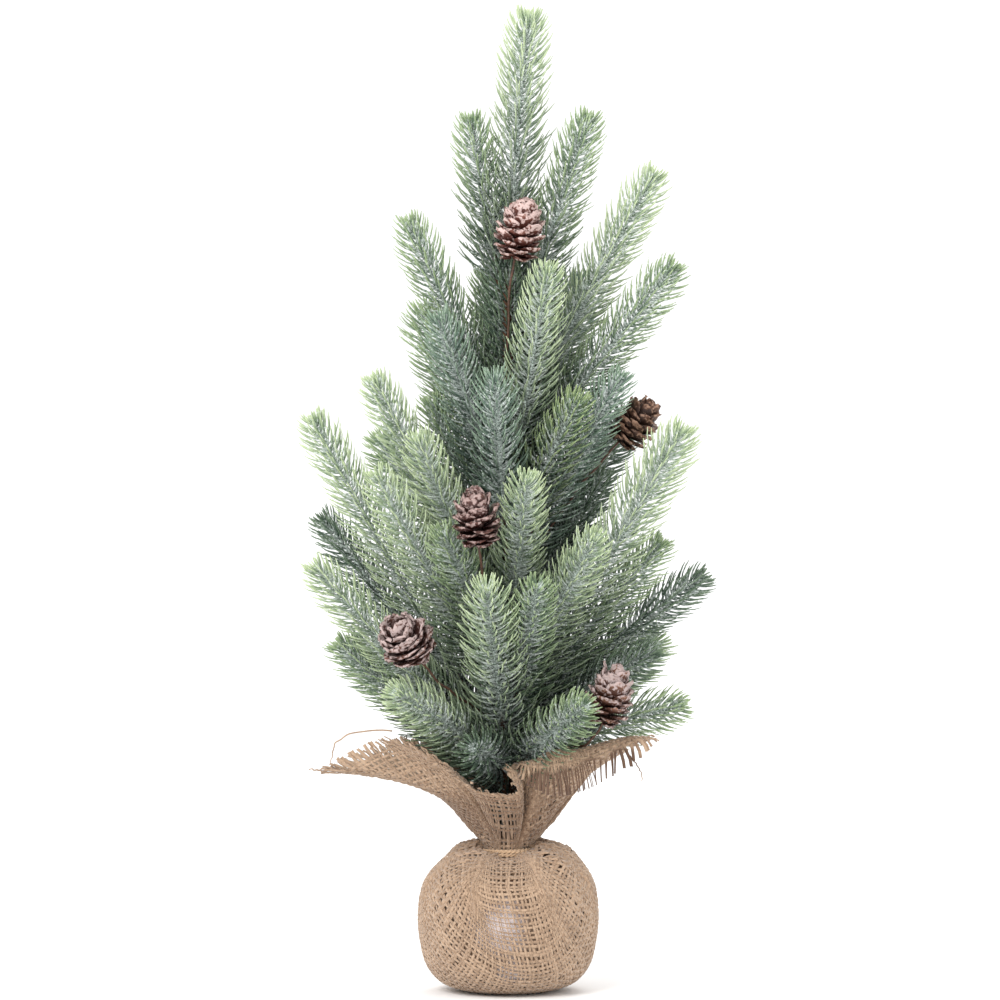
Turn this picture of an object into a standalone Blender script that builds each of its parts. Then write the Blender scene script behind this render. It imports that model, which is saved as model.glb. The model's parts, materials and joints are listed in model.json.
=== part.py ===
"""Artificial tabletop spruce in a burlap-wrapped weighted base, 0.5 m tall.

Metres, +Z up, the viewer's side is -Y. The origin is the middle of the flat underside, so z = 0 is the
table. A plaster weight holds a steel rod. Brown paper tape covers the rod and holds the wire stems of the
sprigs and of the pine cones. One square of burlap wraps the weight, is tied with jute twine above it, and
flares as a collar. Each sprig, and each cone with its stem, bends where its wire leaves the tape.
"""

import bisect
import math
from typing import NamedTuple

import bmesh
import bpy
from mathutils import Vector

MM = 0.001
GAP = 0.4 * MM  # between pieces that touch

# Trunk
ROD_RADIUS = 1.6 * MM
ROD_FOOT = 12.0 * MM
TAPE_RADIUS = 4.5 * MM  # at the shoulder
TAPE_TOP_RADIUS = 2.8 * MM
TRUNK_ABOVE_SHOULDER = 296.0 * MM

# Weighted base and its cloth. The shoulder is the top of the ball, where the cloth turns in to the neck.
BALL_RADIUS = 46.0 * MM
SHOULDER = 68.0 * MM
FOOT_RADIUS = 22.0 * MM
CLOTH_THICKNESS = 1.6 * MM
NECK_RADIUS = 11.3 * MM
TWINE_RADIUS = 1.3 * MM
COLLAR_KNEE_RADIUS = 38.0 * MM
COLLAR_KNEE_RISE = 30.0 * MM

TRUNK_TOP = SHOULDER + TRUNK_ABOVE_SHOULDER

# Sprigs and cones
SPRIG_RADIUS = 5.6 * MM
STEM_RADIUS = 0.9 * MM
LEADER_LENGTH = 134.0 * MM
LEADER_LEAN = 10.0 * MM
CONE_WIRE_RADIUS = 0.8 * MM

# Facets
AROUND = 32
SPRIG_RINGS = 8
COLLAR_AROUND = 44
COLLAR_STEPS = 6


class Sprig(NamedTuple):
    """A sprig: where its wire leaves the tape, which way it goes, how far out its tip is and how far up.

    Lengths are in millimetres, and root is counted from the shoulder. Azimuth is in degrees from +X
    towards +Y, so 270 faces the viewer. Bow is a percentage of its length: above 0 it arches, below 0 it
    turns up.
    """

    name: str
    root: float
    azimuth: float
    reach: float
    rise: float
    bow: float


class Cone(NamedTuple):
    """A pine cone on its wire: its middle, the way it points, its size and where its wire leaves the tape.

    Lengths are in millimetres. The middle's height and root are counted from the shoulder, and tilt is in
    degrees from upright towards the azimuth tilt_towards.
    """

    name: str
    middle: tuple
    tilt_towards: float
    tilt: float
    radius: float
    length: float
    root: float


SPRIGS = (
    Sprig("sprig_top_left", 290, 168, 20, 90, 0),
    Sprig("sprig_top_right", 262, 357, 41, 119, -3),
    Sprig("sprig_crown_left", 220, 189, 52, 108, -6),
    Sprig("sprig_crown_right", 222, 4, 76, 131, -4),
    Sprig("sprig_crown_right_low", 202, 350, 89, 101, 0),
    Sprig("sprig_crown_back", 194, 113, 28, 108, -4),
    Sprig("sprig_crown_front", 194, 300, 40, 109, -8),
    Sprig("sprig_crown_front_left", 182, 217, 44, 97, -7),
    Sprig("sprig_upper_front", 154, 261, 45, 95, -6),
    Sprig("sprig_upper_left", 128, 190, 70, 120, -8),
    Sprig("sprig_upper_left_back", 146, 166, 41, 91, -4),
    Sprig("sprig_upper_front_left", 118, 222, 62, 100, -10),
    Sprig("sprig_upper_right", 154, 339, 62, 95, -3),
    Sprig("sprig_upper_front_right", 168, 317, 50, 70, -6),
    Sprig("sprig_upper_right_back", 116, 20, 53, 84, -4),
    Sprig("sprig_middle_left_long", 58, 176, 101, 170, -4),
    Sprig("sprig_middle_front_left", 92, 214, 81, 108, -10),
    Sprig("sprig_middle_left_back", 50, 162, 102, 126, 0),
    Sprig("sprig_middle_left_front", 100, 239, 65, 71, -6),
    Sprig("sprig_middle_front", 112, 278, 67, 86, -6),
    Sprig("sprig_middle_front_right", 90, 308, 73, 78, -4),
    Sprig("sprig_middle_right", 77, 342, 93, 144, -3),
    Sprig("sprig_middle_right_low", 71, 356, 80, 93, 0),
    Sprig("sprig_lower_left", 48, 193, 102, 105, -5),
    Sprig("sprig_lower_left_flat", 36, 185, 91, 74, 4),
    Sprig("sprig_lower_front_left", 48, 226, 86, 39, 6),
    Sprig("sprig_lower_front", 54, 261, 71, 90, -6),
    Sprig("sprig_lower_front_inner", 72, 282, 73, 73, -5),
    Sprig("sprig_lower_front_flat", 44, 250, 56, 14, 7),
    Sprig("sprig_lower_front_right", 44, 299, 83, 37, 4),
    Sprig("sprig_lower_right", 66, 7, 105, 77, 8),
    Sprig("sprig_lower_right_inner", 61, 350, 80, 45, 5),
    Sprig("sprig_lower_right_flat", 50, 2, 94, 26, 8),
    Sprig("sprig_back_top", 250, 80, 28, 92, -5),
    Sprig("sprig_back_crown_right", 204, 50, 60, 95, -5),
    Sprig("sprig_back_crown_left", 184, 140, 58, 100, -5),
    Sprig("sprig_back_upper", 164, 90, 66, 84, -5),
    Sprig("sprig_back_upper_right", 137, 46, 88, 92, -5),
    Sprig("sprig_back_upper_left", 132, 140, 88, 85, -5),
    Sprig("sprig_back_middle_right", 97, 70, 90, 75, -5),
    Sprig("sprig_back_middle_left", 92, 112, 92, 68, -5),
    Sprig("sprig_back_lower_right", 62, 33, 95, 50, -5),
    Sprig("sprig_back_lower_left", 44, 149, 96, 64, 0),
    Sprig("sprig_back_lower", 52, 90, 88, 25, -5),
)

CONES = (
    Cone("pine_cone_top", (6, -22, 318), 330, 12, 12.6, 32, 230),
    Cone("pine_cone_right", (65, -4, 221), 356, 42, 12.0, 28, 144),
    Cone("pine_cone_centre", (-16, -64, 173), 250, 14, 12.4, 29, 122),
    Cone("pine_cone_left", (-51, -62, 113), 235, 48, 13.6, 27, 70),
    Cone("pine_cone_low_right", (51, -42, 84), 330, 18, 12.2, 31, 65),
)

# The share of a sprig's length, and the share of its full radius there.
SPRIG_SHAPE = (
    (0.0, 0.16),
    (0.16, 0.18),
    (0.38, 0.75),
    (0.6, 1.0),
    (0.82, 0.92),
    (0.94, 0.62),
    (1.0, 0.28),
)

# The weighted ball's outline from the edge of its foot to its shoulder, as shares of its radius and height.
BALL_OUTLINE = (
    (0.74, 0.06),
    (0.91, 0.19),
    (0.985, 0.38),
    (1.0, 0.58),
    (0.94, 0.77),
    (0.77, 0.9),
    (0.52, 0.975),
    (0.33, 1.0),
)

# The cloth's edge: its direction on the flat square in degrees, then its place in millimetres. Heights are
# counted from the shoulder.
COLLAR_EDGE = (
    (0, (36, 6, 44)),
    (30, (50, 30, 54)),
    (45, (60, 50, 50)),
    (60, (38, 50, 56)),
    (90, (0, 36, 38)),
    (120, (-36, 48, 56)),
    (135, (-62, 56, 52)),
    (150, (-54, 28, 58)),
    (180, (-40, 6, 48)),
    (205, (-62, -4, 55)),
    (217, (-80, -14, 51)),
    (225, (-92, -24, 45)),
    (233, (-64, -36, 61)),
    (243, (-40, -42, 54)),
    (256, (-16, -37, 40)),
    (270, (0, -33, 35)),
    (284, (12, -35, 37)),
    (296, (26, -38, 45)),
    (307, (46, -40, 52)),
    (315, (72, -34, 60)),
    (325, (62, -18, 57)),
    (342, (46, -4, 49)),
)


def clear_scene():
    """Removes every object of the scene."""
    for old in list(bpy.data.objects):
        bpy.data.objects.remove(old, do_unlink=True)


def finish(name, colour, roughness, metallic=0.0):
    """A Principled material of one colour."""
    material = bpy.data.materials.new(name)
    material.use_nodes = True
    shader = material.node_tree.nodes["Principled BSDF"]
    shader.inputs["Base Color"].default_value = (*colour, 1.0)
    shader.inputs["Roughness"].default_value = roughness
    shader.inputs["Metallic"].default_value = metallic
    material.diffuse_color = (*colour, 1.0)
    return material


def add_object(name, data, material, collection):
    """An object of this mesh or curve, in the tree's collection."""
    data.materials.append(material)
    obj = bpy.data.objects.new(name, data)
    collection.objects.link(obj)
    return obj


def turned(name, profile, material, collection, steps=AROUND, closed=False):
    """A shape turned about Z from (radius, height) points that run down its outer side, top to bottom."""
    edges = [(i, i + 1) for i in range(len(profile) - 1)]
    if closed:
        edges.append((len(profile) - 1, 0))
    mesh = bpy.data.meshes.new(name)
    mesh.from_pydata([(radius, 0.0, height) for radius, height in profile], edges, [])
    obj = add_object(name, mesh, material, collection)
    screw = obj.modifiers.new("turn", "SCREW")
    screw.axis = "Z"
    screw.steps = steps
    screw.render_steps = steps
    screw.use_merge_vertices = True
    screw.merge_threshold = 0.00001
    screw.use_smooth_shade = True
    return obj


def tapered_wire(name, points, radii, material, collection):
    """A round bar through these points, with its own radius at each."""
    curve = bpy.data.curves.new(name, "CURVE")
    curve.dimensions = "3D"
    curve.bevel_depth = 1.0
    curve.bevel_resolution = 2
    curve.use_fill_caps = True
    spline = curve.splines.new("POLY")
    spline.points.add(len(points) - 1)
    for target, point, radius in zip(spline.points, points, radii):
        target.co = (*point, 1.0)
        target.radius = radius
    return add_object(name, curve, material, collection)


def around_trunk(azimuth, radius, height):
    """The point at this azimuth in degrees, distance from the trunk's axis and height."""
    angle = math.radians(azimuth)
    return Vector((radius * math.cos(angle), radius * math.sin(angle), height))


def tape_radius(height):
    """The radius of the taped trunk at this height."""
    share = (height - SHOULDER) / (TRUNK_TOP - SHOULDER)
    return TAPE_RADIUS + (TAPE_TOP_RADIUS - TAPE_RADIUS) * share


def bend(start, middle, end, share):
    """The point at this share of the curve that leaves start towards middle and reaches end."""
    return start * (1 - share) ** 2 + middle * 2 * share * (1 - share) + end * share**2


def profile_at(shape, share):
    """The value at this share of a list of (share, value), joined by straight lines."""
    places = [place for place, _ in shape]
    after = min(max(bisect.bisect_left(places, share), 1), len(shape) - 1)
    (low, first), (high, second) = shape[after - 1], shape[after]
    return first + (second - first) * (share - low) / (high - low)


def sprig_solid(name, root, tip, bow, material, collection):
    """A sprig from its wire's root to its tip: a thin stem that swells into the body of the needles."""
    chord = tip - root
    middle = root + chord / 2 + Vector((0, 0, bow * chord.length))
    shares = [i / (SPRIG_RINGS - 1) for i in range(SPRIG_RINGS)]
    points = [bend(root, middle, tip, share) - root for share in shares]
    radii = [SPRIG_RADIUS * profile_at(SPRIG_SHAPE, share) for share in shares]
    obj = tapered_wire(name, points, radii, material, collection)
    obj.location = root
    return obj


def make_sprigs(material, collection):
    """The leader on top of the trunk, and the sprigs round it. Each one's origin is its bend."""
    leader_root = Vector((0, 0, TRUNK_TOP + GAP))
    leader_tip = leader_root + Vector((LEADER_LEAN, 0, LEADER_LENGTH))
    sprig_solid("sprig_leader", leader_root, leader_tip, 0.0, material, collection)
    for sprig in SPRIGS:
        height = SHOULDER + sprig.root * MM
        root = around_trunk(sprig.azimuth, tape_radius(height) + STEM_RADIUS + GAP, height)
        tip = around_trunk(sprig.azimuth, sprig.reach * MM, height + sprig.rise * MM)
        sprig_solid(sprig.name, root, tip, sprig.bow / 100, material, collection)


def make_cones(cone_finish, wire_finish, collection):
    """Each pine cone, turned to the way it points, and the wire that joins it to the trunk."""
    for cone in CONES:
        middle = Vector(cone.middle) * MM + Vector((0, 0, SHOULDER))
        lean = math.radians(cone.tilt)
        towards = around_trunk(cone.tilt_towards, math.sin(lean), math.cos(lean))
        half = cone.length * MM / 2
        radius = cone.radius * MM
        outline = [(0.0, half)]
        for turn in range(1, 8):
            angle = math.pi * turn / 8
            swell = 1.0 + 0.14 * math.cos(angle + math.pi)
            outline.append((radius * math.sin(angle) * swell / 1.05, half * math.cos(angle)))
        outline.append((0.0, -half))
        body = turned(cone.name, outline, cone_finish, collection, steps=16)
        body.location = middle
        body.rotation_mode = "QUATERNION"
        body.rotation_quaternion = Vector((0, 0, 1)).rotation_difference(towards)

        stalk = middle - towards * (half + GAP)
        azimuth = math.degrees(math.atan2(stalk.y, stalk.x))
        height = SHOULDER + cone.root * MM
        root = around_trunk(azimuth, tape_radius(height) + CONE_WIRE_RADIUS + GAP, height)
        knee = stalk - towards * (stalk - root).length * 0.45
        points = [bend(root, knee, stalk, i / 8) - root for i in range(9)]
        radii = [CONE_WIRE_RADIUS] * len(points)
        wire = tapered_wire(cone.name + "_wire", points, radii, wire_finish, collection)
        wire.location = root


def inset_outline(inset):
    """The ball's outline, moved in by this much along its own normals, from foot to shoulder."""
    points = [Vector((r * BALL_RADIUS, z * SHOULDER)) for r, z in BALL_OUTLINE]
    before = [Vector((FOOT_RADIUS, 0.0))] + points[:-1]
    after = points[1:] + [points[-1] + Vector((-TWINE_RADIUS, 0.0))]
    moved = []
    for point, low, high in zip(points, before, after):
        along = (high - low).normalized()
        moved.append(point + Vector((-along.y, along.x)) * inset)
    return moved


def make_weight(plaster, steel, tape, collection):
    """The plaster weight with its bore, the rod that stands in it, and the tape that covers the rod."""
    outline = inset_outline(CLOTH_THICKNESS + 1.5 * GAP)
    floor = CLOTH_THICKNESS + GAP
    top = outline[-1].y
    bore = ROD_RADIUS + GAP
    profile = [(0.0, ROD_FOOT - GAP), (bore, ROD_FOOT - GAP), (bore, top)]
    profile += [(point.x, point.y) for point in reversed(outline)]
    profile += [(FOOT_RADIUS, floor), (0.0, floor)]
    turned("ballast_weight", profile, plaster, collection)

    rod = [(0.0, TRUNK_TOP), (ROD_RADIUS, TRUNK_TOP), (ROD_RADIUS, ROD_FOOT), (0.0, ROD_FOOT)]
    turned("trunk_rod", rod, steel, collection, steps=12)
    inner = ROD_RADIUS + GAP
    foot = top + GAP
    sleeve = [(inner, TRUNK_TOP), (TAPE_TOP_RADIUS, TRUNK_TOP), (tape_radius(foot), foot), (inner, foot)]
    turned("trunk_tape", sleeve, tape, collection, steps=16, closed=True)


def edge_at(place):
    """The cloth's edge, COLLAR_EDGE[i] at a whole place i and a smooth closed curve between them."""
    count = len(COLLAR_EDGE)
    index = int(place)
    share = place - index
    before, low, high, after = (COLLAR_EDGE[(index + step) % count] for step in (-1, 0, 1, 2))
    points = [Vector(key[1]) * MM + Vector((0, 0, SHOULDER)) for key in (before, low, high, after)]
    turn = low[0] + share * ((high[0] - low[0]) % 360)
    slope_low = (points[2] - points[0]) / 2
    slope_high = (points[3] - points[1]) / 2
    curve = points[1] * (2 * share**3 - 3 * share**2 + 1) + slope_low * (share**3 - 2 * share**2 + share)
    curve += points[2] * (3 * share**2 - 2 * share**3) + slope_high * (share**3 - share**2)
    return turn, curve


def collar_rings():
    """The collar's outer face, one ring of points for each step from the neck to the cloth's edge."""
    neck_top = SHOULDER + GAP + 3 * TWINE_RADIUS + 2 * GAP
    edges = [edge_at(i * len(COLLAR_EDGE) / COLLAR_AROUND) for i in range(COLLAR_AROUND)]
    rings = []
    for step in range(COLLAR_STEPS + 1):
        share = step / COLLAR_STEPS
        ring = []
        for turn, edge in edges:
            neck = around_trunk(turn, NECK_RADIUS, neck_top)
            knee = around_trunk(turn, COLLAR_KNEE_RADIUS, neck_top + COLLAR_KNEE_RISE)
            ring.append(bend(neck, knee, edge, share))
        rings.append(ring)
    return rings


def inner_face(rings, thickness):
    """These rings moved inwards by the thickness, along the normals of the face that they make."""
    moved = []
    for k, ring in enumerate(rings):
        low = rings[max(k - 1, 0)]
        high = rings[min(k + 1, len(rings) - 1)]
        row = []
        for i, point in enumerate(ring):
            around = ring[(i + 1) % len(ring)] - ring[i - 1]
            outwards = high[i] - low[i]
            row.append(point - around.cross(outwards).normalized() * thickness)
        moved.append(row)
    return moved


def make_burlap(material, collection):
    """The square of burlap: flat under the weight, up round it, pinched at the neck and flared as a collar.

    One closed skin: rings from the middle of the underside up the outer face to the cloth's edge, then back
    down the inner face to the middle of the sack's floor.
    """
    turns = [edge_at(i * len(COLLAR_EDGE) / COLLAR_AROUND)[0] for i in range(COLLAR_AROUND)]

    def level(radius, height):
        return [around_trunk(turn, radius, height) for turn in turns]

    outer = [level(r * BALL_RADIUS, z * SHOULDER) for r, z in BALL_OUTLINE]
    inner = [level(point.x, point.y) for point in inset_outline(CLOTH_THICKNESS)]
    collar = collar_rings()
    lining = inner_face(collar[2:], CLOTH_THICKNESS)
    mouth = tape_radius(inner[-1][0].z) + GAP
    rings = [level(FOOT_RADIUS, 0.0)] + outer + [level(NECK_RADIUS, SHOULDER + GAP)] + collar
    rings += lining[::-1]
    rings += [level(mouth, collar[1][0].z), level(mouth, inner[-1][0].z)] + inner[::-1]
    rings += [level(FOOT_RADIUS, CLOTH_THICKNESS)]

    build = bmesh.new()
    rows = [[build.verts.new(point) for point in ring] for ring in rings]
    for low, high in zip(rows, rows[1:]):
        for i in range(COLLAR_AROUND):
            build.faces.new((low[i - 1], low[i], high[i], high[i - 1]))
    build.faces.new(rows[0][::-1])
    build.faces.new(rows[-1])
    mesh = bpy.data.meshes.new("burlap_wrap")
    build.to_mesh(mesh)
    build.free()
    add_object("burlap_wrap", mesh, material, collection)


def make_twine(material, collection):
    """The jute twine round the neck, as one ring."""
    height = SHOULDER + 2 * GAP + 1.5 * TWINE_RADIUS
    bpy.ops.mesh.primitive_torus_add(
        location=(0, 0, height),
        major_segments=AROUND,
        minor_segments=8,
        major_radius=NECK_RADIUS + GAP + TWINE_RADIUS,
        minor_radius=TWINE_RADIUS,
    )
    ring = bpy.context.active_object
    ring.name = "twine_tie"
    ring.data.materials.append(material)
    for owner in list(ring.users_collection):
        owner.objects.unlink(ring)
    collection.objects.link(ring)


def main():
    clear_scene()
    tree = bpy.data.collections.new("tabletop_tree")
    bpy.context.scene.collection.children.link(tree)
    plaster = finish("plaster", (0.82, 0.80, 0.82), 0.85)
    steel = finish("rod_steel", (0.45, 0.45, 0.46), 0.4, metallic=1.0)
    tape = finish("paper_tape", (0.09, 0.06, 0.04), 0.8)
    burlap = finish("burlap", (0.55, 0.38, 0.22), 0.95)
    jute = finish("jute_twine", (0.62, 0.46, 0.29), 0.9)
    needles = finish("frosted_needles", (0.25, 0.36, 0.25), 0.7)
    scales = finish("cone_scales", (0.25, 0.13, 0.09), 0.75)
    wire = finish("cone_wire", (0.20, 0.09, 0.06), 0.5)
    make_weight(plaster, steel, tape, tree)
    make_burlap(burlap, tree)
    make_twine(jute, tree)
    make_sprigs(needles, tree)
    make_cones(scales, wire, tree)


main()
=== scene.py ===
"""Looks of the tabletop spruce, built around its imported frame.

The frame gives the places: every sprig and cone is grown round its CAD solid and rides on that
solid's body. The needles, the stems, the cones' scales, the wires, the burlap's yarns and the twine
are tubes: rings of points carried along a path, worked out as whole arrays. Lengths are in metres,
+Z is up and the viewer's side is -Y.
"""

import sys

import json
import logging
import math
from dataclasses import dataclass, field
from enum import Enum

import bpy
import numpy as np
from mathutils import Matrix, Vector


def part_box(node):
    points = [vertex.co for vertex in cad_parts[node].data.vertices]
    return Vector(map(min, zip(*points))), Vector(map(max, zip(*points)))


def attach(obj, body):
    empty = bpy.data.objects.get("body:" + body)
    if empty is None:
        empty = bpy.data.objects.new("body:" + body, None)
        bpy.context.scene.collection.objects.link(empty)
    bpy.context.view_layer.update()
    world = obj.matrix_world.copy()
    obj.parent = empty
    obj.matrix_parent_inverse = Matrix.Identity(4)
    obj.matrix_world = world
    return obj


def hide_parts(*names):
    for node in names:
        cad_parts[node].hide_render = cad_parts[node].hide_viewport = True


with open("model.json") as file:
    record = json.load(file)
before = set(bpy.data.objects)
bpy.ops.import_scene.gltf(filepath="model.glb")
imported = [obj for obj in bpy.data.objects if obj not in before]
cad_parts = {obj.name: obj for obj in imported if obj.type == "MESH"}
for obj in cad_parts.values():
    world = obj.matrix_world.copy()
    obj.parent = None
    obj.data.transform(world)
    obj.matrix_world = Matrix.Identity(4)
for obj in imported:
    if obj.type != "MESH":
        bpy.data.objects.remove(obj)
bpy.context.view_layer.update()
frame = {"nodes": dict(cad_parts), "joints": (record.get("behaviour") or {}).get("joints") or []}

MM = 0.001
UV_LAYER = "OFBake"
CELL_MARGIN = 0.04
SLANT = np.array((0.31, 0.86, -0.4))
UP = np.array((0.0, 0.0, 1.0))
GOLDEN_ANGLE = 2.4
LEAST_BEND = 1e-3
LOG = logging.getLogger("spruce")

Array = np.ndarray
Colour = tuple[float, float, float]
Ball = tuple[float, float, float, float]
Socket = bpy.types.NodeSocket
Value = Socket | float


# ---------------------------------------------------------------- arrays and meshes


@dataclass
class Skin:
    """The mesh arrays of one piece.

    points holds the vertices, corners the vertex index of each face corner in turn, sizes the corners
    that each face has, uv a place per corner, traits a value per vertex under each name, and finish a
    material slot per face.
    """

    points: Array
    corners: Array
    sizes: Array
    uv: Array
    traits: dict[str, Array]
    finish: Array


def joined(skins: list[Skin]) -> Skin:
    """Puts several skins into one, side by side in the UV square.

    Args:
        skins: The skins, which all have the same traits.

    Returns:
        One skin with all their faces.
    """
    firsts = np.cumsum([0] + [len(skin.points) for skin in skins])
    strips = len(skins)
    return Skin(
        np.concatenate([skin.points for skin in skins]),
        np.concatenate([skin.corners + first for skin, first in zip(skins, firsts)]),
        np.concatenate([skin.sizes for skin in skins]),
        np.concatenate([(skin.uv + (k, 0)) / (strips, 1) for k, skin in enumerate(skins)]),
        {name: np.concatenate([skin.traits[name] for skin in skins]) for name in skins[0].traits},
        np.concatenate([skin.finish for skin in skins]),
    )


def swept(rings: Array, traits: dict[str, Array], slimness: float = 1.0, finish: int = 0) -> Skin:
    """Closes a set of tubes: quads between neighbouring rings and one face over each end.

    Every tube has its own cell of the UV square, with u round the tube and v along it.

    Args:
        rings: Points of shape (tubes, stations, sides, 3). Seen from the tube's end, a ring runs
            anticlockwise.
        traits: Values that broadcast to (tubes, stations, sides).
        slimness: A tube's length over its girth, which sets the shape of the cells.
        finish: The material slot of its faces.

    Returns:
        The tubes' skin.
    """
    tubes, stations, sides = rings.shape[:3]
    number = np.arange(tubes * stations * sides).reshape(tubes, stations, sides)
    after = np.roll(number, -1, axis=2)
    quads = np.stack((number[:, :-1], after[:, :-1], after[:, 1:], number[:, 1:]), axis=-1)
    ends = np.stack((number[:, 0, ::-1], number[:, -1]), axis=1)

    columns = max(1, min(tubes, round(math.sqrt(tubes * slimness))))
    rows = math.ceil(tubes / columns)
    cell = np.stack((np.arange(tubes) % columns, np.arange(tubes) // columns), axis=-1)
    side = np.arange(sides)
    along = np.arange(stations - 1)
    square = np.empty((stations - 1, sides, 4, 2))
    for corner, (right, up) in enumerate(((0, 0), (1, 0), (1, 1), (0, 1))):
        square[:, :, corner, 0] = (side + right) / sides
        square[:, :, corner, 1] = (along + up)[:, None] / (stations - 1)
    rims = np.stack((side[::-1] / sides, side / sides)), np.repeat(((0.0,), (1.0,)), sides, axis=1)
    place = np.concatenate((square.reshape(-1, 2), np.stack(rims, axis=-1).reshape(-1, 2)))
    inside = CELL_MARGIN + (1 - 2 * CELL_MARGIN) * place
    uv = (cell[:, None, :] + inside[None]) / (columns, rows)

    corners = np.concatenate((quads.reshape(tubes, -1), ends.reshape(tubes, -1)), axis=1)
    sizes = np.concatenate((np.full((stations - 1) * sides, 4), np.full(2, sides)))
    shape = (tubes, stations, sides)
    return Skin(
        rings.reshape(-1, 3),
        corners.ravel(),
        np.tile(sizes, tubes),
        uv.reshape(-1, 2),
        {name: np.broadcast_to(value, shape).ravel() for name, value in traits.items()},
        np.full(len(sizes) * tubes, finish),
    )


def piece(name: str, skin: Skin, body: str, materials: list[bpy.types.Material]) -> bpy.types.Object:
    """Makes the Blender object of a skin, smooth-shaded, and lets it ride on a body.

    Args:
        name: The piece's name.
        skin: Its arrays.
        body: The CAD body that it moves with.
        materials: Its material slots.

    Returns:
        The object, whose vertices are in the frame's own coordinates.
    """
    mesh = bpy.data.meshes.new(name)
    mesh.vertices.add(len(skin.points))
    mesh.vertices.foreach_set("co", skin.points.astype(np.float32).ravel())
    mesh.loops.add(len(skin.corners))
    mesh.loops.foreach_set("vertex_index", skin.corners.astype(np.int32))
    mesh.polygons.add(len(skin.sizes))
    starts = np.cumsum(skin.sizes) - skin.sizes
    mesh.polygons.foreach_set("loop_start", starts.astype(np.int32))
    for material in materials:
        mesh.materials.append(material)
    mesh.polygons.foreach_set("material_index", skin.finish.astype(np.int32))
    layer = mesh.uv_layers.new(name=UV_LAYER)
    layer.data.foreach_set("uv", skin.uv.astype(np.float32).ravel())
    for trait, values in skin.traits.items():
        attribute = mesh.attributes.new(trait, "FLOAT", "POINT")
        attribute.data.foreach_set("value", values.astype(np.float32))
    mesh.update(calc_edges=True)
    mesh.shade_smooth()
    obj = bpy.data.objects.new(name, mesh)
    bpy.context.scene.collection.objects.link(obj)
    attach(obj, body)
    LOG.info("%s: %d faces on %s", name, len(skin.sizes), body)
    return obj


def unit(vectors: Array) -> Array:
    """The vectors, each at length 1."""
    return vectors / np.maximum(np.linalg.norm(vectors, axis=-1, keepdims=True), 1e-12)


def ring_angles(sides: int) -> Array:
    """The angles of a ring's points, the first half a step past 0."""
    return 2 * np.pi * (np.arange(sides) + 0.5) / sides


def rings_round(
    path: Array, across: Array, out: Array, wide: Array | float, thick: Array | float, sides: int
) -> Array:
    """Elliptic rings round the points of some paths.

    A ring's point at angle a is the path's point, plus across times wide times cos a, plus out times
    thick times sin a, so across, out and the way along the path are a right-handed set.

    Args:
        path: Points of shape (tubes, stations, 3).
        across: Unit vectors of that shape.
        out: Unit vectors of that shape.
        wide: Half widths that broadcast to (tubes, stations).
        thick: Half thicknesses that broadcast to (tubes, stations).
        sides: The points of a ring.

    Returns:
        Points of shape (tubes, stations, sides, 3).
    """
    angle = ring_angles(sides)
    shape = path.shape[:2]
    wide = np.broadcast_to(wide, shape)[..., None, None]
    thick = np.broadcast_to(thick, shape)[..., None, None]
    level_part = across[:, :, None] * wide * np.cos(angle)[:, None]
    upright_part = out[:, :, None] * thick * np.sin(angle)[:, None]
    return path[:, :, None] + (level_part + upright_part)


def wire_rings(path: Array, radius: Array | float, sides: int) -> Array:
    """Round rings along paths of any course.

    The ring's first axis is square to the way along and to a slanting line that no path here follows.

    Args:
        path: Points of shape (tubes, stations, 3).
        radius: Radii that broadcast to (tubes, stations).
        sides: The points of a ring.

    Returns:
        Points of shape (tubes, stations, sides, 3).
    """
    ahead = unit(np.gradient(path, axis=1))
    across = unit(np.cross(ahead, SLANT))
    out = np.cross(ahead, across)
    return rings_round(path, across, out, radius, radius, sides)


def smooth_line(points: Array, share: Array) -> Array:
    """A smooth open curve through some points, at the given shares of the way.

    Between two points it is the cubic whose slope at each is half the step from the point before to
    the next.

    Args:
        points: The points, of shape (count, columns).
        share: Places from 0 to 1.

    Returns:
        The curve's points, one for each share.
    """
    padded = np.concatenate((2 * points[:1] - points[1:2], points, 2 * points[-1:] - points[-2:-1]))
    return cubic_between(padded, np.clip(share, 0, 1) * (len(points) - 1) + 1)


def cubic_between(points: Array, place: Array) -> Array:
    """The cubic through points 1 to count - 2 at a fractional index, which is 1 at the second point.

    Args:
        points: The points, with one more before the first and after the last.
        place: Fractional indices.

    Returns:
        The curve's points, one for each place.
    """
    low = np.clip(np.floor(place).astype(int), 1, len(points) - 3)
    share = (place - low)[..., None]
    before, start, end, after = (points[low + step] for step in (-1, 0, 1, 2))
    rise, fall = (end - before) / 2, (after - start) / 2
    return (
        start * (2 * share**3 - 3 * share**2 + 1)
        + rise * (share**3 - 2 * share**2 + share)
        + end * (3 * share**2 - 2 * share**3)
        + fall * (share**3 - share**2)
    )


def bent_courses(start: Array, end: Array, station: Array) -> tuple[Array, Array, Array]:
    """Courses of length 1 whose slope to a line goes evenly from start to end.

    Each is the integral of its slope's cosine along the line, and of its sine away from the line.

    Args:
        start: Slopes at the feet of the courses, in radians.
        end: Slopes at their points.
        station: Shares of the way.

    Returns:
        The slopes, the ways along the line and the ways out from it, of shape (courses, stations).
    """
    bend = np.where(np.abs(end - start) < LEAST_BEND, LEAST_BEND, end - start)[:, None]
    slope = start[:, None] + (end - start)[:, None] * station
    along = (np.sin(slope) - np.sin(start)[:, None]) / bend
    outwards = (np.cos(start)[:, None] - np.cos(slope)) / bend
    return slope, along, outwards


def level(turn: Array) -> Array:
    """Unit vectors that lie level, in these directions in degrees."""
    radians = np.radians(turn)
    return np.stack((np.cos(radians), np.sin(radians), np.zeros_like(radians)), axis=-1)


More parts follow.
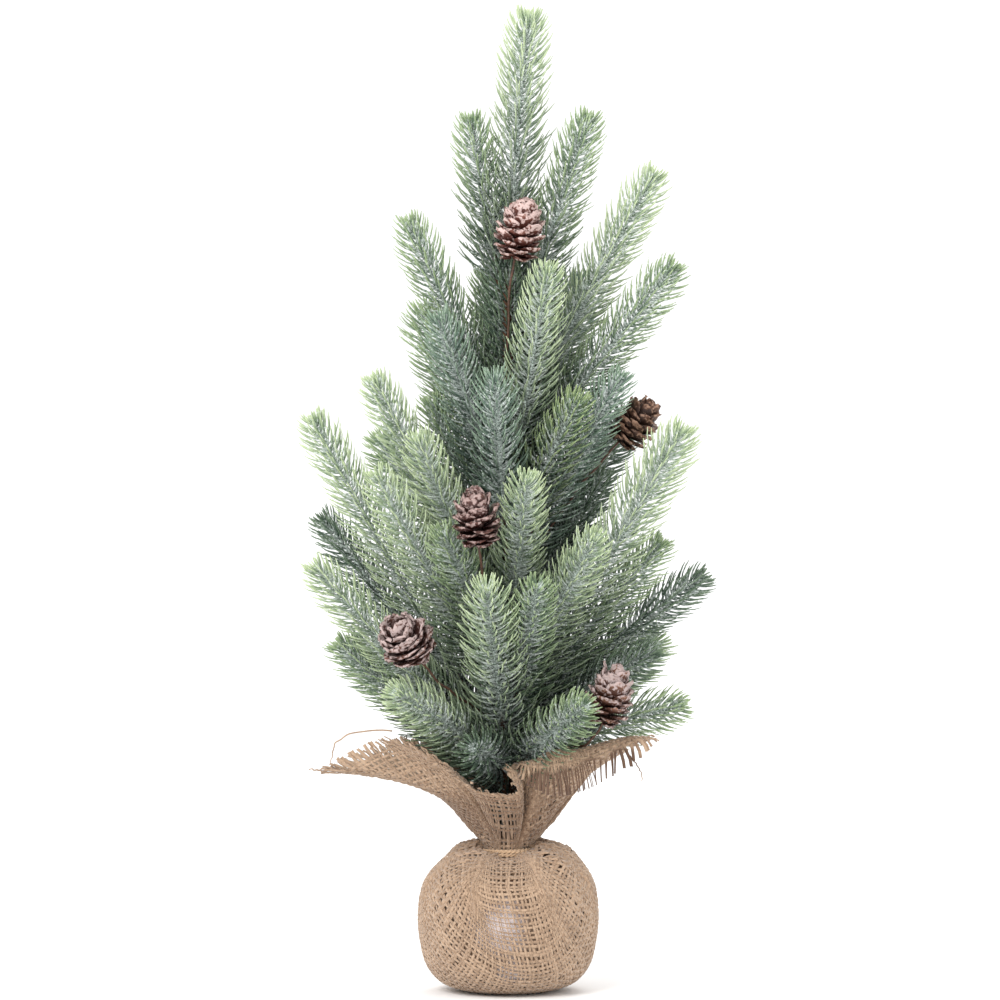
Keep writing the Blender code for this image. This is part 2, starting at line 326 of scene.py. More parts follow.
def turned_from(turn: Array, start: float) -> Array:
    """How far directions in degrees are from this one, from -180 to 180."""
    return (turn - start + 180) % 360 - 180


def eased(share: Array, start: float, width: float) -> Array:
    """0 up to the start, 1 from a width past it, and straight between them."""
    return np.clip((share - start) / width, 0, 1)


def ball(x: float, y: float, z: float, radius: float) -> Ball:
    """A ball given in millimetres, as its middle and its radius in metres."""
    return x * MM, y * MM, z * MM, radius * MM


def hump(distance: Array, width: float) -> Array:
    """A bell of height 1 at distance 0, which has fallen to about a third at the given width."""
    return np.exp(-((distance / width) ** 2))


def vertices_of(node: str) -> Array:
    """The vertices of a CAD node at rest, of shape (count, 3)."""
    vertices = frame["nodes"][node].data.vertices
    points = np.empty(len(vertices) * 3, np.float32)
    vertices.foreach_get("co", points)
    return points.reshape(-1, 3).astype(float)


# ---------------------------------------------------------------- materials


def paint(red: int, green: int, blue: int) -> Colour:
    """A colour given as display values from 0 to 255, as the linear values that a shader takes."""
    shares = (value / 255 for value in (red, green, blue))
    return tuple(s / 12.92 if s <= 0.04045 else ((s + 0.055) / 1.055) ** 2.4 for s in shares)


# A Mix node's colour sockets, whose names it also gives to its other sockets.
MIX_FIRST, MIX_SECOND, MIX_RESULT = 6, 7, 2


@dataclass
class Recipe:
    """Builds the nodes of one material round its Principled shader."""

    name: str
    roughness: float = 0.6
    metallic: float = 0.0
    specular: float = 0.5
    material: bpy.types.Material = field(init=False)

    def __post_init__(self) -> None:
        """Makes the material with its constants on the shader's own sockets."""
        self.material = bpy.data.materials.new(self.name)
        self.material.use_nodes = True
        self.shader = self.material.node_tree.nodes["Principled BSDF"]
        self.shader.inputs["Roughness"].default_value = self.roughness
        self.shader.inputs["Metallic"].default_value = self.metallic
        self.shader.inputs["Specular IOR Level"].default_value = self.specular

    def node(self, kind: str, **settings: object) -> bpy.types.Node:
        """A new node of this kind with these settings."""
        made = self.material.node_tree.nodes.new(kind)
        for key, value in settings.items():
            setattr(made, key, value)
        return made

    def feed(self, target: Socket, source: Value | Colour) -> None:
        """Links a socket to another one, or gives it a constant."""
        if isinstance(source, Socket):
            self.material.node_tree.links.new(source, target)
        elif isinstance(source, tuple) and len(source) == 3 and target.type == "RGBA":
            target.default_value = (*source, 1.0)
        else:
            target.default_value = source

    def trait(self, name: str) -> Socket:
        """The value that the piece's vertices carry under this name."""
        return self.node("ShaderNodeAttribute", attribute_name=name).outputs["Fac"]

    def place(self) -> Socket:
        """The point in the piece's own frame."""
        return self.node("ShaderNodeTexCoord").outputs["Object"]

    def place_axes(self) -> tuple[Socket, Socket, Socket]:
        """The three coordinates of that point."""
        axes = self.node("ShaderNodeSeparateXYZ")
        self.feed(axes.inputs[0], self.place())
        return axes.outputs[0], axes.outputs[1], axes.outputs[2]

    def distance_to(self, middle: list[float]) -> Socket:
        """How far the point in the piece's own frame is from this one."""
        away = self.node("ShaderNodeVectorMath", operation="DISTANCE")
        self.feed(away.inputs[0], self.place())
        away.inputs[1].default_value = middle
        return away.outputs["Value"]

    def step(self, operation: str, first: Value, second: Value = 0.0) -> Socket:
        """One step of arithmetic on one value or two."""
        made = self.node("ShaderNodeMath", operation=operation)
        self.feed(made.inputs[0], first)
        self.feed(made.inputs[1], second)
        return made.outputs[0]

    def times(self, first: Value, second: Value) -> Socket:
        """The product of two values."""
        return self.step("MULTIPLY", first, second)

    def plus(self, *values: Value) -> Socket:
        """The sum of some values, from the first to the last."""
        total = values[0]
        for value in values[1:]:
            total = self.step("ADD", total, value)
        return total

    def swing(self, value: Value, size: float) -> Socket:
        """A value from 0 to 1, as one that goes half the size to each side of 0."""
        return self.times(self.step("SUBTRACT", value, 0.5), size)

    def between(
        self, value: Value, low: float, high: float, start: float = 0.0, end: float = 1.0
    ) -> Socket:
        """Runs from start to end, smoothly, as the value goes from low to high."""
        made = self.node("ShaderNodeMapRange", interpolation_type="SMOOTHSTEP")
        self.feed(made.inputs["Value"], value)
        for socket, source in (("From Min", low), ("From Max", high), ("To Min", start), ("To Max", end)):
            made.inputs[socket].default_value = source
        return made.outputs["Result"]

    def vector(self, x: Value, y: Value, z: Value = 0.0) -> Socket:
        """A vector from three values."""
        made = self.node("ShaderNodeCombineXYZ")
        for socket, source in zip(made.inputs, (x, y, z)):
            self.feed(socket, source)
        return made.outputs[0]

    def noise(self, place: Socket, scale: float, detail: float = 3.0) -> Socket:
        """Soft noise from 0 to 1 over this place."""
        made = self.node("ShaderNodeTexNoise")
        self.feed(made.inputs["Vector"], place)
        made.inputs["Scale"].default_value = scale
        made.inputs["Detail"].default_value = detail
        return made.outputs["Fac"]

    def mix(self, share: Value, first: Socket | Colour, second: Socket | Colour) -> Socket:
        """The first colour where share is 0 and the second where it is 1."""
        made = self.node("ShaderNodeMix", data_type="RGBA")
        self.feed(made.inputs[0], share)
        self.feed(made.inputs[MIX_FIRST], first)
        self.feed(made.inputs[MIX_SECOND], second)
        return made.outputs[MIX_RESULT]

    def bump(self, height: Socket, depth: float, strength: float = 0.6) -> None:
        """Raises the surface by this height times depth."""
        made = self.node("ShaderNodeBump")
        made.inputs["Strength"].default_value = strength
        made.inputs["Distance"].default_value = depth
        self.feed(made.inputs["Height"], height)
        self.feed(self.shader.inputs["Normal"], made.outputs[0])

    def done(self, colour: Socket | Colour) -> bpy.types.Material:
        """Sets the base colour and gives the material."""
        self.feed(self.shader.inputs["Base Color"], colour)
        return self.material


@dataclass(frozen=True)
class NeedleFinish:
    """Moulded green plastic with a dusting of frost along the stem.

    deep is the colour at the sprig's foot, where it is painted shade, and a random darkening of single
    needles; green is the colour further out and tip at the needles' points. tip_share and frost_share
    say how much of the needles they cover, and scatter how unlike the needles are.
    """

    name: str
    deep: Colour
    green: Colour
    tip: Colour
    tip_share: float
    frost_share: float
    frost: Colour = paint(230, 237, 234)
    scatter: float = 0.35

    def material(self) -> bpy.types.Material:
        """The material, driven by the place along the sprig, along the needle, and a chance value."""
        recipe = Recipe(self.name, roughness=0.62, specular=0.35)
        along, needle, chance = (recipe.trait(name) for name in ("along", "needle", "chance"))
        # Painted shade: the sprig turns to the deep colour towards its foot.
        body = recipe.mix(recipe.between(along, 0.16, 0.92), self.deep, self.green)
        shade = recipe.swing(chance, self.scatter)
        body = recipe.mix(recipe.step("ABSOLUTE", shade), body, self.deep)
        pale = recipe.between(recipe.plus(needle, shade), 0.25, 1.0, 0.0, self.tip_share)
        # Painted shade: the tips are less pale towards the sprig's foot.
        pale = recipe.times(pale, recipe.between(along, 0.1, 0.85, 0.3, 1.0))
        body = recipe.mix(pale, body, self.tip)
        grain = recipe.noise(recipe.place(), 760.0, 3.0)
        near_stem = recipe.between(needle, 0.0, 0.85, 0.62, 0.1)
        dust = recipe.plus(near_stem, recipe.swing(grain, 1.8), shade)
        dust = recipe.between(dust, 0.2, 0.75, 0.0, self.frost_share)
        # Painted shade: the frost thins towards the sprig's foot.
        dust = recipe.times(dust, recipe.between(along, 0.0, 0.55, 0.6, 1.0))
        recipe.bump(grain, 0.15 * MM)
        return recipe.done(recipe.mix(dust, body, self.frost))


@dataclass(frozen=True)
class StemFinish:
    """A stem: brown paper tape at its foot, and green plastic where the needles cover it."""

    name: str = "stem_tape"
    tape: Colour = paint(70, 48, 36)
    crinkled: Colour = paint(104, 76, 58)
    green: Colour = paint(196, 208, 200)

    def material(self) -> bpy.types.Material:
        """The stem's material, driven by the place along it."""
        recipe = Recipe(self.name, roughness=0.8, specular=0.2)
        crinkle = recipe.noise(recipe.place(), 700.0, 3.0)
        foot = recipe.mix(recipe.between(crinkle, 0.35, 0.7), self.tape, self.crinkled)
        recipe.bump(crinkle, 0.3 * MM)
        past_tape = recipe.between(recipe.trait("along"), 0.16, 0.3)
        return recipe.done(recipe.mix(past_tape, foot, self.green))


@dataclass(frozen=True)
class ScaleFinish:
    """The scales of a dried pine cone, dusted with frost on their rims.

    deep is painted shade between the scales, on each scale's inner part and on the core, and also the
    dark of the wood's grain; bark is the colour of their faces. frost_share is how much of a scale the
    frost covers, and crown adds more of it towards the cone's top.
    """

    name: str
    deep: Colour
    bark: Colour
    frost: Colour
    frost_share: float
    crown: float = 0.0
    roughness: float = 0.6

    def material(self) -> bpy.types.Material:
        """The material, driven by the place along a scale, its rim, its height and a chance value."""
        recipe = Recipe(self.name, roughness=self.roughness, specular=0.45)
        traits = ("scale", "rim", "height", "chance")
        scale, rim, height, chance = (recipe.trait(name) for name in traits)
        grain = recipe.noise(recipe.place(), 900.0, 4.0)
        # Painted shade: each scale is deep towards its foot, where it lies between the others.
        body = recipe.mix(recipe.between(scale, 0.6, 1.05), self.deep, self.bark)
        body = recipe.mix(recipe.between(grain, 0.4, 0.7, 0.0, 0.8), body, self.deep)
        speckle = recipe.noise(recipe.place(), 560.0, 5.0)
        dust = recipe.plus(
            recipe.between(scale, 0.55, 1.0, 0.0, 0.6),
            recipe.times(rim, 0.35),
            recipe.swing(speckle, 3.4),
            recipe.between(height, 0.3, 1.0, 0.0, self.crown),
            recipe.swing(chance, 0.3),
        )
        recipe.bump(grain, 0.8 * MM)
        dust = recipe.between(dust, 0.5, 0.95, 0.0, self.frost_share)
        return recipe.done(recipe.mix(dust, body, self.frost))


@dataclass(frozen=True)
class YarnFinish:
    """Natural jute: each yarn has its own tone, with darker slubs along it and fine fibres.

    funnel_shade darkens the cloth in the narrow part of the collar, between the heights of funnel_foot
    and funnel_top. In the shaded balls the cloth has nearly the shade_colour.
    """

    name: str
    light: Colour
    dark: Colour
    fibre: float = 0.25 * MM
    funnel_shade: float = 0.34
    funnel_foot: tuple[float, float] = (70 * MM, 82 * MM)
    funnel_top: tuple[float, float] = (110 * MM, 94 * MM)
    shaded: tuple[Ball, ...] = ()
    shade_colour: Colour = paint(88, 62, 47)

    def material(self) -> bpy.types.Material:
        """The material, driven by the distance along the yarn in millimetres and a chance value."""
        recipe = Recipe(self.name, roughness=0.9, specular=0.15)
        recipe.shader.inputs["Sheen Weight"].default_value = 0.25
        recipe.shader.inputs["Sheen Roughness"].default_value = 0.6
        run, chance = recipe.trait("run"), recipe.trait("chance")
        slub = recipe.noise(recipe.vector(recipe.times(run, 0.11), recipe.times(chance, 91.0)), 1.0)
        fibres = recipe.noise(recipe.place(), 1500.0, 4.0)
        recipe.bump(fibres, self.fibre)
        height = recipe.place_axes()[2]
        above_foot = recipe.between(height, *self.funnel_foot)
        funnel = recipe.times(above_foot, recipe.between(height, *self.funnel_top))
        tone = recipe.plus(
            recipe.times(slub, 0.9),
            recipe.times(chance, 0.35),
            recipe.swing(fibres, 0.8),
            recipe.times(funnel, self.funnel_shade),
        )
        shade: Value = 0.0
        for *middle, radius in self.shaded:
            near = recipe.between(recipe.distance_to(middle), radius, 0.75 * radius, 0.0, 0.9)
            shade = recipe.step("MAXIMUM", shade, near)
        jute = recipe.mix(recipe.between(tone, 0.3, 1.25), self.light, self.dark)
        return recipe.done(recipe.mix(shade, jute, self.shade_colour))


@dataclass(frozen=True)
class PlasterFinish:
    """The white weight, with painted shade on it except in the clear balls, where the cloth is open."""

    clear: tuple[Ball, ...]
    name: str = "weight_plaster"
    white: Colour = paint(252, 244, 246)
    # Painted shade: the brown that the weave's holes show everywhere but in the clear balls.
    painted_shade: Colour = paint(192, 162, 134)

    def material(self) -> bpy.types.Material:
        """Plaster whose painted shade has cloudy edges."""
        recipe = Recipe(self.name, roughness=0.85, specular=0.2)
        cloud = recipe.noise(recipe.place(), 90.0, 4.0)
        # Painted shade on the plaster, cleared in each clear ball with a cloudy edge.
        painted_shade: Value = 1.0
        for *middle, radius in self.clear:
            far = recipe.step("DIVIDE", recipe.distance_to(middle), radius)
            far = recipe.plus(far, recipe.times(cloud, 0.5))
            painted_shade = recipe.times(painted_shade, recipe.between(far, 1.0, 1.45))
        recipe.bump(recipe.noise(recipe.place(), 300.0, 4.0), 0.3 * MM)
        return recipe.done(recipe.mix(painted_shade, self.white, self.painted_shade))


@dataclass(frozen=True)
class TapeFinish:
    """Brown crepe paper tape, wound up the trunk in a screw with an edge at every turn.

    turn is how far the tape climbs in one turn round the trunk.
    """

    name: str = "trunk_paper_tape"
    light: Colour = paint(98, 70, 52)
    dark: Colour = paint(52, 35, 26)
    turn: float = 9.0 * MM

    def material(self) -> bpy.types.Material:
        """The height plus the share of a turn, cut into steps, gives the tape's overlapping edges."""
        recipe = Recipe(self.name, roughness=0.85, specular=0.2)
        x, y, z = recipe.place_axes()
        round_it = recipe.step("DIVIDE", recipe.step("ARCTAN2", y, x), 2 * math.pi)
        screw = recipe.step("FRACT", recipe.plus(recipe.step("DIVIDE", z, self.turn), round_it))
        crepe = recipe.times(recipe.noise(recipe.place(), 800.0, 4.0), 0.5)
        tone = recipe.plus(recipe.between(screw, 0.0, 0.2, 0.9, 0.2), crepe)
        recipe.bump(recipe.plus(screw, crepe), 0.5 * MM)
        return recipe.done(recipe.mix(recipe.between(tone, 0.2, 1.1), self.light, self.dark))


@dataclass(frozen=True)
class MetalFinish:
    """Drawn steel, or wire under a thin coat of brown paint."""

    name: str
    colour: Colour
    worn: Colour
    roughness: float
    metallic: float

    def material(self) -> bpy.types.Material:
        """Metal with fine streaks."""
        recipe = Recipe(self.name, roughness=self.roughness, metallic=self.metallic)
        streak = recipe.noise(recipe.place(), 500.0, 3.0)
        recipe.bump(streak, 0.1 * MM, 0.4)
        return recipe.done(recipe.mix(recipe.between(streak, 0.4, 0.75), self.colour, self.worn))


# ---------------------------------------------------------------- sprigs


class Tone(Enum):
    """The colour batches of the sprigs; DARK is painted shade for those deep in the tree."""

    PALE = "pale"
    GREEN = "green"
    DARK = "dark"
    BLUE = "blue"
    OLIVE = "olive"


NEEDLE_FINISHES = {
    Tone.PALE: NeedleFinish(
        "needles_pale", paint(76, 94, 78), paint(146, 166, 136), paint(196, 210, 166), 0.85, 0.95
    ),
    Tone.GREEN: NeedleFinish(
        "needles_green", paint(58, 77, 63), paint(114, 136, 110), paint(168, 186, 138), 0.75, 0.9
    ),
    Tone.DARK: NeedleFinish(
        "needles_dark", paint(42, 57, 49), paint(76, 96, 80), paint(120, 138, 108), 0.55, 0.8
    ),
    Tone.BLUE: NeedleFinish(
        "needles_blue", paint(56, 74, 66), paint(108, 131, 118), paint(154, 175, 146), 0.6, 1.0
    ),
    Tone.OLIVE: NeedleFinish(
        "needles_olive", paint(52, 70, 54), paint(104, 128, 98), paint(166, 182, 124), 0.7, 0.75
    ),
}

TONES = {
    Tone.PALE: (
        "sprig_leader",
        "sprig_crown_front",
        "sprig_crown_right",
        "sprig_upper_left",
        "sprig_upper_front_left",
        "sprig_middle_left_long",
        "sprig_middle_front_left",
        "sprig_middle_front",
        "sprig_middle_front_right",
        "sprig_middle_right",
        "sprig_lower_left",
        "sprig_lower_front_left",
        "sprig_lower_front",
    ),
    # Painted shade: the dark batch goes on the sprigs that lie deep in the tree, at its back and low
    # down.
    Tone.DARK: (
        "sprig_upper_right_back",
        "sprig_middle_left_back",
        "sprig_lower_right",
        "sprig_lower_right_inner",
        "sprig_lower_front_flat",
        "sprig_back_lower",
        "sprig_back_lower_left",
        "sprig_back_middle_left",
        "sprig_back_upper_right",
    ),
    Tone.BLUE: (
        "sprig_upper_right",
        "sprig_crown_front_left",
        "sprig_upper_front",
        "sprig_back_crown_right",
    ),
    Tone.OLIVE: ("sprig_upper_front_right",),
}


def tone_of(sprig: str) -> Tone:
    """The batch that a sprig comes from: green unless it is listed in another."""
    return next((tone for tone, names in TONES.items() if sprig in names), Tone.GREEN)


@dataclass
class SprigLine:
    """The line that a sprig's stem follows, read from its CAD solid.

    The point at share t is the root, plus t times the chord, plus 2 t (1 - t) times rise upwards.
    """

    root: Array
    chord: Array
    rise: float

    @classmethod
    def of(cls, node: str, root: Array) -> "SprigLine":
        """Fits the line to a CAD spindle.

        The tip is the vertex furthest from the root. The rise is the one that makes the vertices lie
        evenly on both sides of the line, by least squares.

        Args:
            node: The CAD node.
            root: The point where it bends.

        Returns:
            The line.
        """
        points = vertices_of(node) - root
        chord = points[np.argmax(np.linalg.norm(points, axis=1))]
        length = np.linalg.norm(chord)
        share = np.clip(points @ chord / length**2, 0, 1)
        flat = UP - chord * chord[2] / length**2
        aside = (points - share[:, None] * chord) @ flat
        lever = 2 * share * (1 - share) * (flat @ flat)
        return cls(root, chord, float(aside @ lever / (lever @ lever)))

    @property
    def length(self) -> float:
        """The chord's length."""
        return float(np.linalg.norm(self.chord))

    def at(self, share: Array) -> Array:
        """The points of the line at these shares."""
        bulge = (2 * share * (1 - share))[..., None] * (self.rise * UP)
        return self.root + share[..., None] * self.chord + bulge

    def axes(self, share: Array) -> tuple[Array, Array, Array]:
        """The ways along the line, level across it, and square to both, at these shares."""
        ahead = unit(self.chord + (2 - 4 * share)[..., None] * (self.rise * UP))
        sideways = np.array((-self.chord[1], self.chord[0], 0.0))
        across = np.broadcast_to(unit(sideways), ahead.shape)
        return ahead, across, np.cross(ahead, across)


@dataclass
class Sprig:
    """One sprig of moulded needles: whorls of needles round a stem that is taped at its foot.

    The needles start past the bare foot, and a small crown of them closes the tip. Their angles to the
    stem are in degrees: wide_angle at a needle's foot and narrow_angle at its point, which become the
    tip angles near the sprig's tip. flatness shortens the needles that point at or away from the
    viewer, and foot_growth lengthens those towards the sprig's foot.
    """

    node: str
    line: SprigLine
    rng: np.random.Generator
    needle_length: float = 17.0 * MM
    needle_half_width: float = 0.6 * MM
    whorl_step: float = 3.6 * MM
    whorl_needles: int = 11
    bare: float = 3 * MM
    crown: float = 8 * MM
    crown_needles: int = 14
    wide_angle: float = 70.0
    narrow_angle: float = 22.0
    tip_wide_angle: float = 42.0
    tip_narrow_angle: float = 12.0
    tip_length_share: float = 0.54
    closing_length: float = 7 * MM
    angle_scatter: float = 5.0
    length_scatter: float = 0.06
    sway: float = 0.07
    flatness: float = 0.22
    foot_growth: float = 0.42
    foot_reach: float = 0.45
    foot_radius: float = 1.7 * MM
    stem_radius: float = 0.9 * MM

    def needle_places(self) -> tuple[Array, Array]:
        """Where the needles stand: the share of the stem and the angle round it, for each needle.

        They stand in rows along the stem, and every other row is half a step further on.

        Returns:
            The shares and the angles.
        """
        start, end = self.bare / self.line.length, 1 - self.crown / self.line.length
        whorls = max(5, round((end - start) * self.line.length / self.whorl_step))
        number, slot = np.meshgrid(np.arange(whorls), np.arange(self.whorl_needles), indexing="ij")
        jitter = self.rng.uniform(-0.5, 0.5, (2, whorls, self.whorl_needles))
        share = number + 0.25 + 0.5 * (slot % 2) + 0.3 * jitter[0]
        share = start + share / whorls * (end - start)
        angle = 2 * np.pi * (slot + 0.4 * jitter[1]) / self.whorl_needles
        crown = np.arange(self.crown_needles)
        crown_share = end + 0.1 * (crown / self.crown_needles - 1) * (1 - end)
        share = np.concatenate((share.ravel(), crown_share))
        return share, np.concatenate((angle.ravel(), crown * GOLDEN_ANGLE))

    def needle_angles(self, closing: Array) -> tuple[Array, Array]:
        """The needles' angles to the stem, at their feet and at their points, in radians."""
        angles = []
        for tip, full in (
            (self.tip_wide_angle, self.wide_angle),
            (self.tip_narrow_angle, self.narrow_angle),
        ):
            scatter = self.rng.normal(0, self.angle_scatter, len(closing))
            angles.append(np.radians(tip + (full - tip) * closing + scatter))
        return angles[0], angles[1]

    def needles(self) -> Skin:
        """The needles: each leans out from the stem and curves towards the sprig's tip."""
        share, turn = self.needle_places()
        count = len(share)
        station = np.array((0.0, 0.26, 0.55, 0.82, 1.0))
        girth = np.array((0.85, 1.0, 0.96, 0.78, 0.36)) * self.needle_half_width
        left = np.maximum((1 - share) * self.line.length - self.crown, 0)
        closing = 1 - np.exp(-left / self.closing_length)
        wide, narrow = self.needle_angles(closing)
        fullness = self.tip_length_share + (1 - self.tip_length_share) * closing
        length = self.needle_length * fullness * self.rng.normal(1, self.length_scatter, count)
        sway = self.rng.normal(0, self.sway, count)

        ahead, across, up = self.line.axes(share)
        out = across * np.cos(turn)[:, None] + up * np.sin(turn)[:, None]
        length = length * (1 - self.flatness * out[:, 1] ** 2)
        length = length * (1 + self.foot_growth * hump(share, self.foot_reach))
        aside = np.cross(ahead, out)
        slope, run, rise = bent_courses(wide, narrow, station)
        path = (self.line.at(share) + out * self.stem_radius * 0.6)[:, None]
        stretch = length[:, None, None]
        path = path + stretch * (run[..., None] * ahead[:, None] + rise[..., None] * out[:, None])
        path = path + stretch * (sway[:, None] * station**2)[..., None] * aside[:, None]
        normal = np.cos(slope)[..., None] * out[:, None] - np.sin(slope)[..., None] * ahead[:, None]
        side = np.broadcast_to(aside[:, None], normal.shape)
        rings = rings_round(path, normal, side, girth * 0.8, girth, 4)
        traits = {
            "along": share[:, None, None],
            "needle": station[:, None],
            "chance": self.rng.uniform(0, 1, count)[:, None, None],
        }
        return swept(rings, traits, slimness=4.0)

    def stem(self) -> Skin:
        """The stem: a tapering tube from the trunk's tape to just short of the tip."""
        share = np.linspace(-0.02, 1 - 0.9 * self.crown / self.line.length, 26)
        ahead, across, up = self.line.axes(share)
        radius = self.stem_radius + (self.foot_radius - self.stem_radius) * hump(share, 0.22)
        radius = radius * (1 - 0.5 * share)
        rings = rings_round(self.line.at(share)[None], across[None], up[None], radius, radius, 7)
        traits = {
            "along": np.clip(share, 0, 1)[:, None],
            "needle": np.zeros(1),
            "chance": np.full(1, 0.5),
        }
        return swept(rings, traits, finish=1)

    def build(
        self, finishes: dict[Tone, bpy.types.Material], stem_finish: bpy.types.Material
    ) -> None:
        """Makes the piece in place of the CAD spindle."""
        skin = joined([self.needles(), self.stem()])
        name = self.node.replace("sprig_", "needles_")
        obj = piece(name, skin, self.node, [finishes[tone_of(self.node)], stem_finish])
        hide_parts(self.node)


# The sprigs whose needles are longer than the others'.
NEEDLE_LENGTHS = {
    "sprig_leader": 18.0 * MM,
    "sprig_middle_right": 20.0 * MM,
    "sprig_lower_front": 20.0 * MM,
}


@dataclass
class Foliage:
    """All the sprigs of the tree.

    Sprigs that grow from below collar_top have no longer needles at their feet, which keeps them out
    of the burlap. Those at the back have needles of their own length and step.
    """

    rng: np.random.Generator
    collar_top: float = 110.0 * MM
    back_needle: float = 22.0 * MM
    back_step: float = 3.0 * MM

    def build(self) -> None:
        """Grows each sprig round the CAD node of its name, and the trunk's own needles."""
        finishes = {tone: finish.material() for tone, finish in NEEDLE_FINISHES.items()}
        stem_finish = StemFinish().material()
        for joint in frame["joints"]:
            node = joint["child"]
            if not node.startswith("sprig_"):
                continue
            line = SprigLine.of(node, np.array(joint["pos_m"], float))
            sprig = Sprig(node, line, self.rng)
            sprig.needle_length = NEEDLE_LENGTHS.get(node, sprig.needle_length)
            if line.root[2] < self.collar_top:
                sprig.foot_growth = 0.0
            if node.startswith("sprig_back"):
                sprig.needle_length, sprig.whorl_step = self.back_needle, self.back_step
            sprig.build(finishes, stem_finish)
        # Painted shade: the trunk's needles take the dark batch, for the tree's shaded middle.
        self.trunk_needles(finishes[Tone.DARK])

    def trunk_needles(self, finish: bpy.types.Material) -> None:
        """The needles taped in along the trunk, which fill the tree's middle between the sprigs' feet."""
        low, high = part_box("trunk_tape")
        foot = np.array((0.0, 0.0, low.z + 12 * MM))
        line = SprigLine(foot, np.array((0.5 * MM, 0.0, high.z - foot[2] + 10 * MM)), 0.0)
        trunk = Sprig(
            "trunk_tape",
            line,
            self.rng,
            needle_length=18 * MM,
            whorl_step=2.8 * MM,
            whorl_needles=14,
            wide_angle=76.0,
            narrow_angle=34.0,
            flatness=0.0,
            foot_growth=0.0,
            stem_radius=3 * MM,
        )
        piece("needles_trunk", trunk.needles(), "base", [finish])


# ---------------------------------------------------------------- pine cones


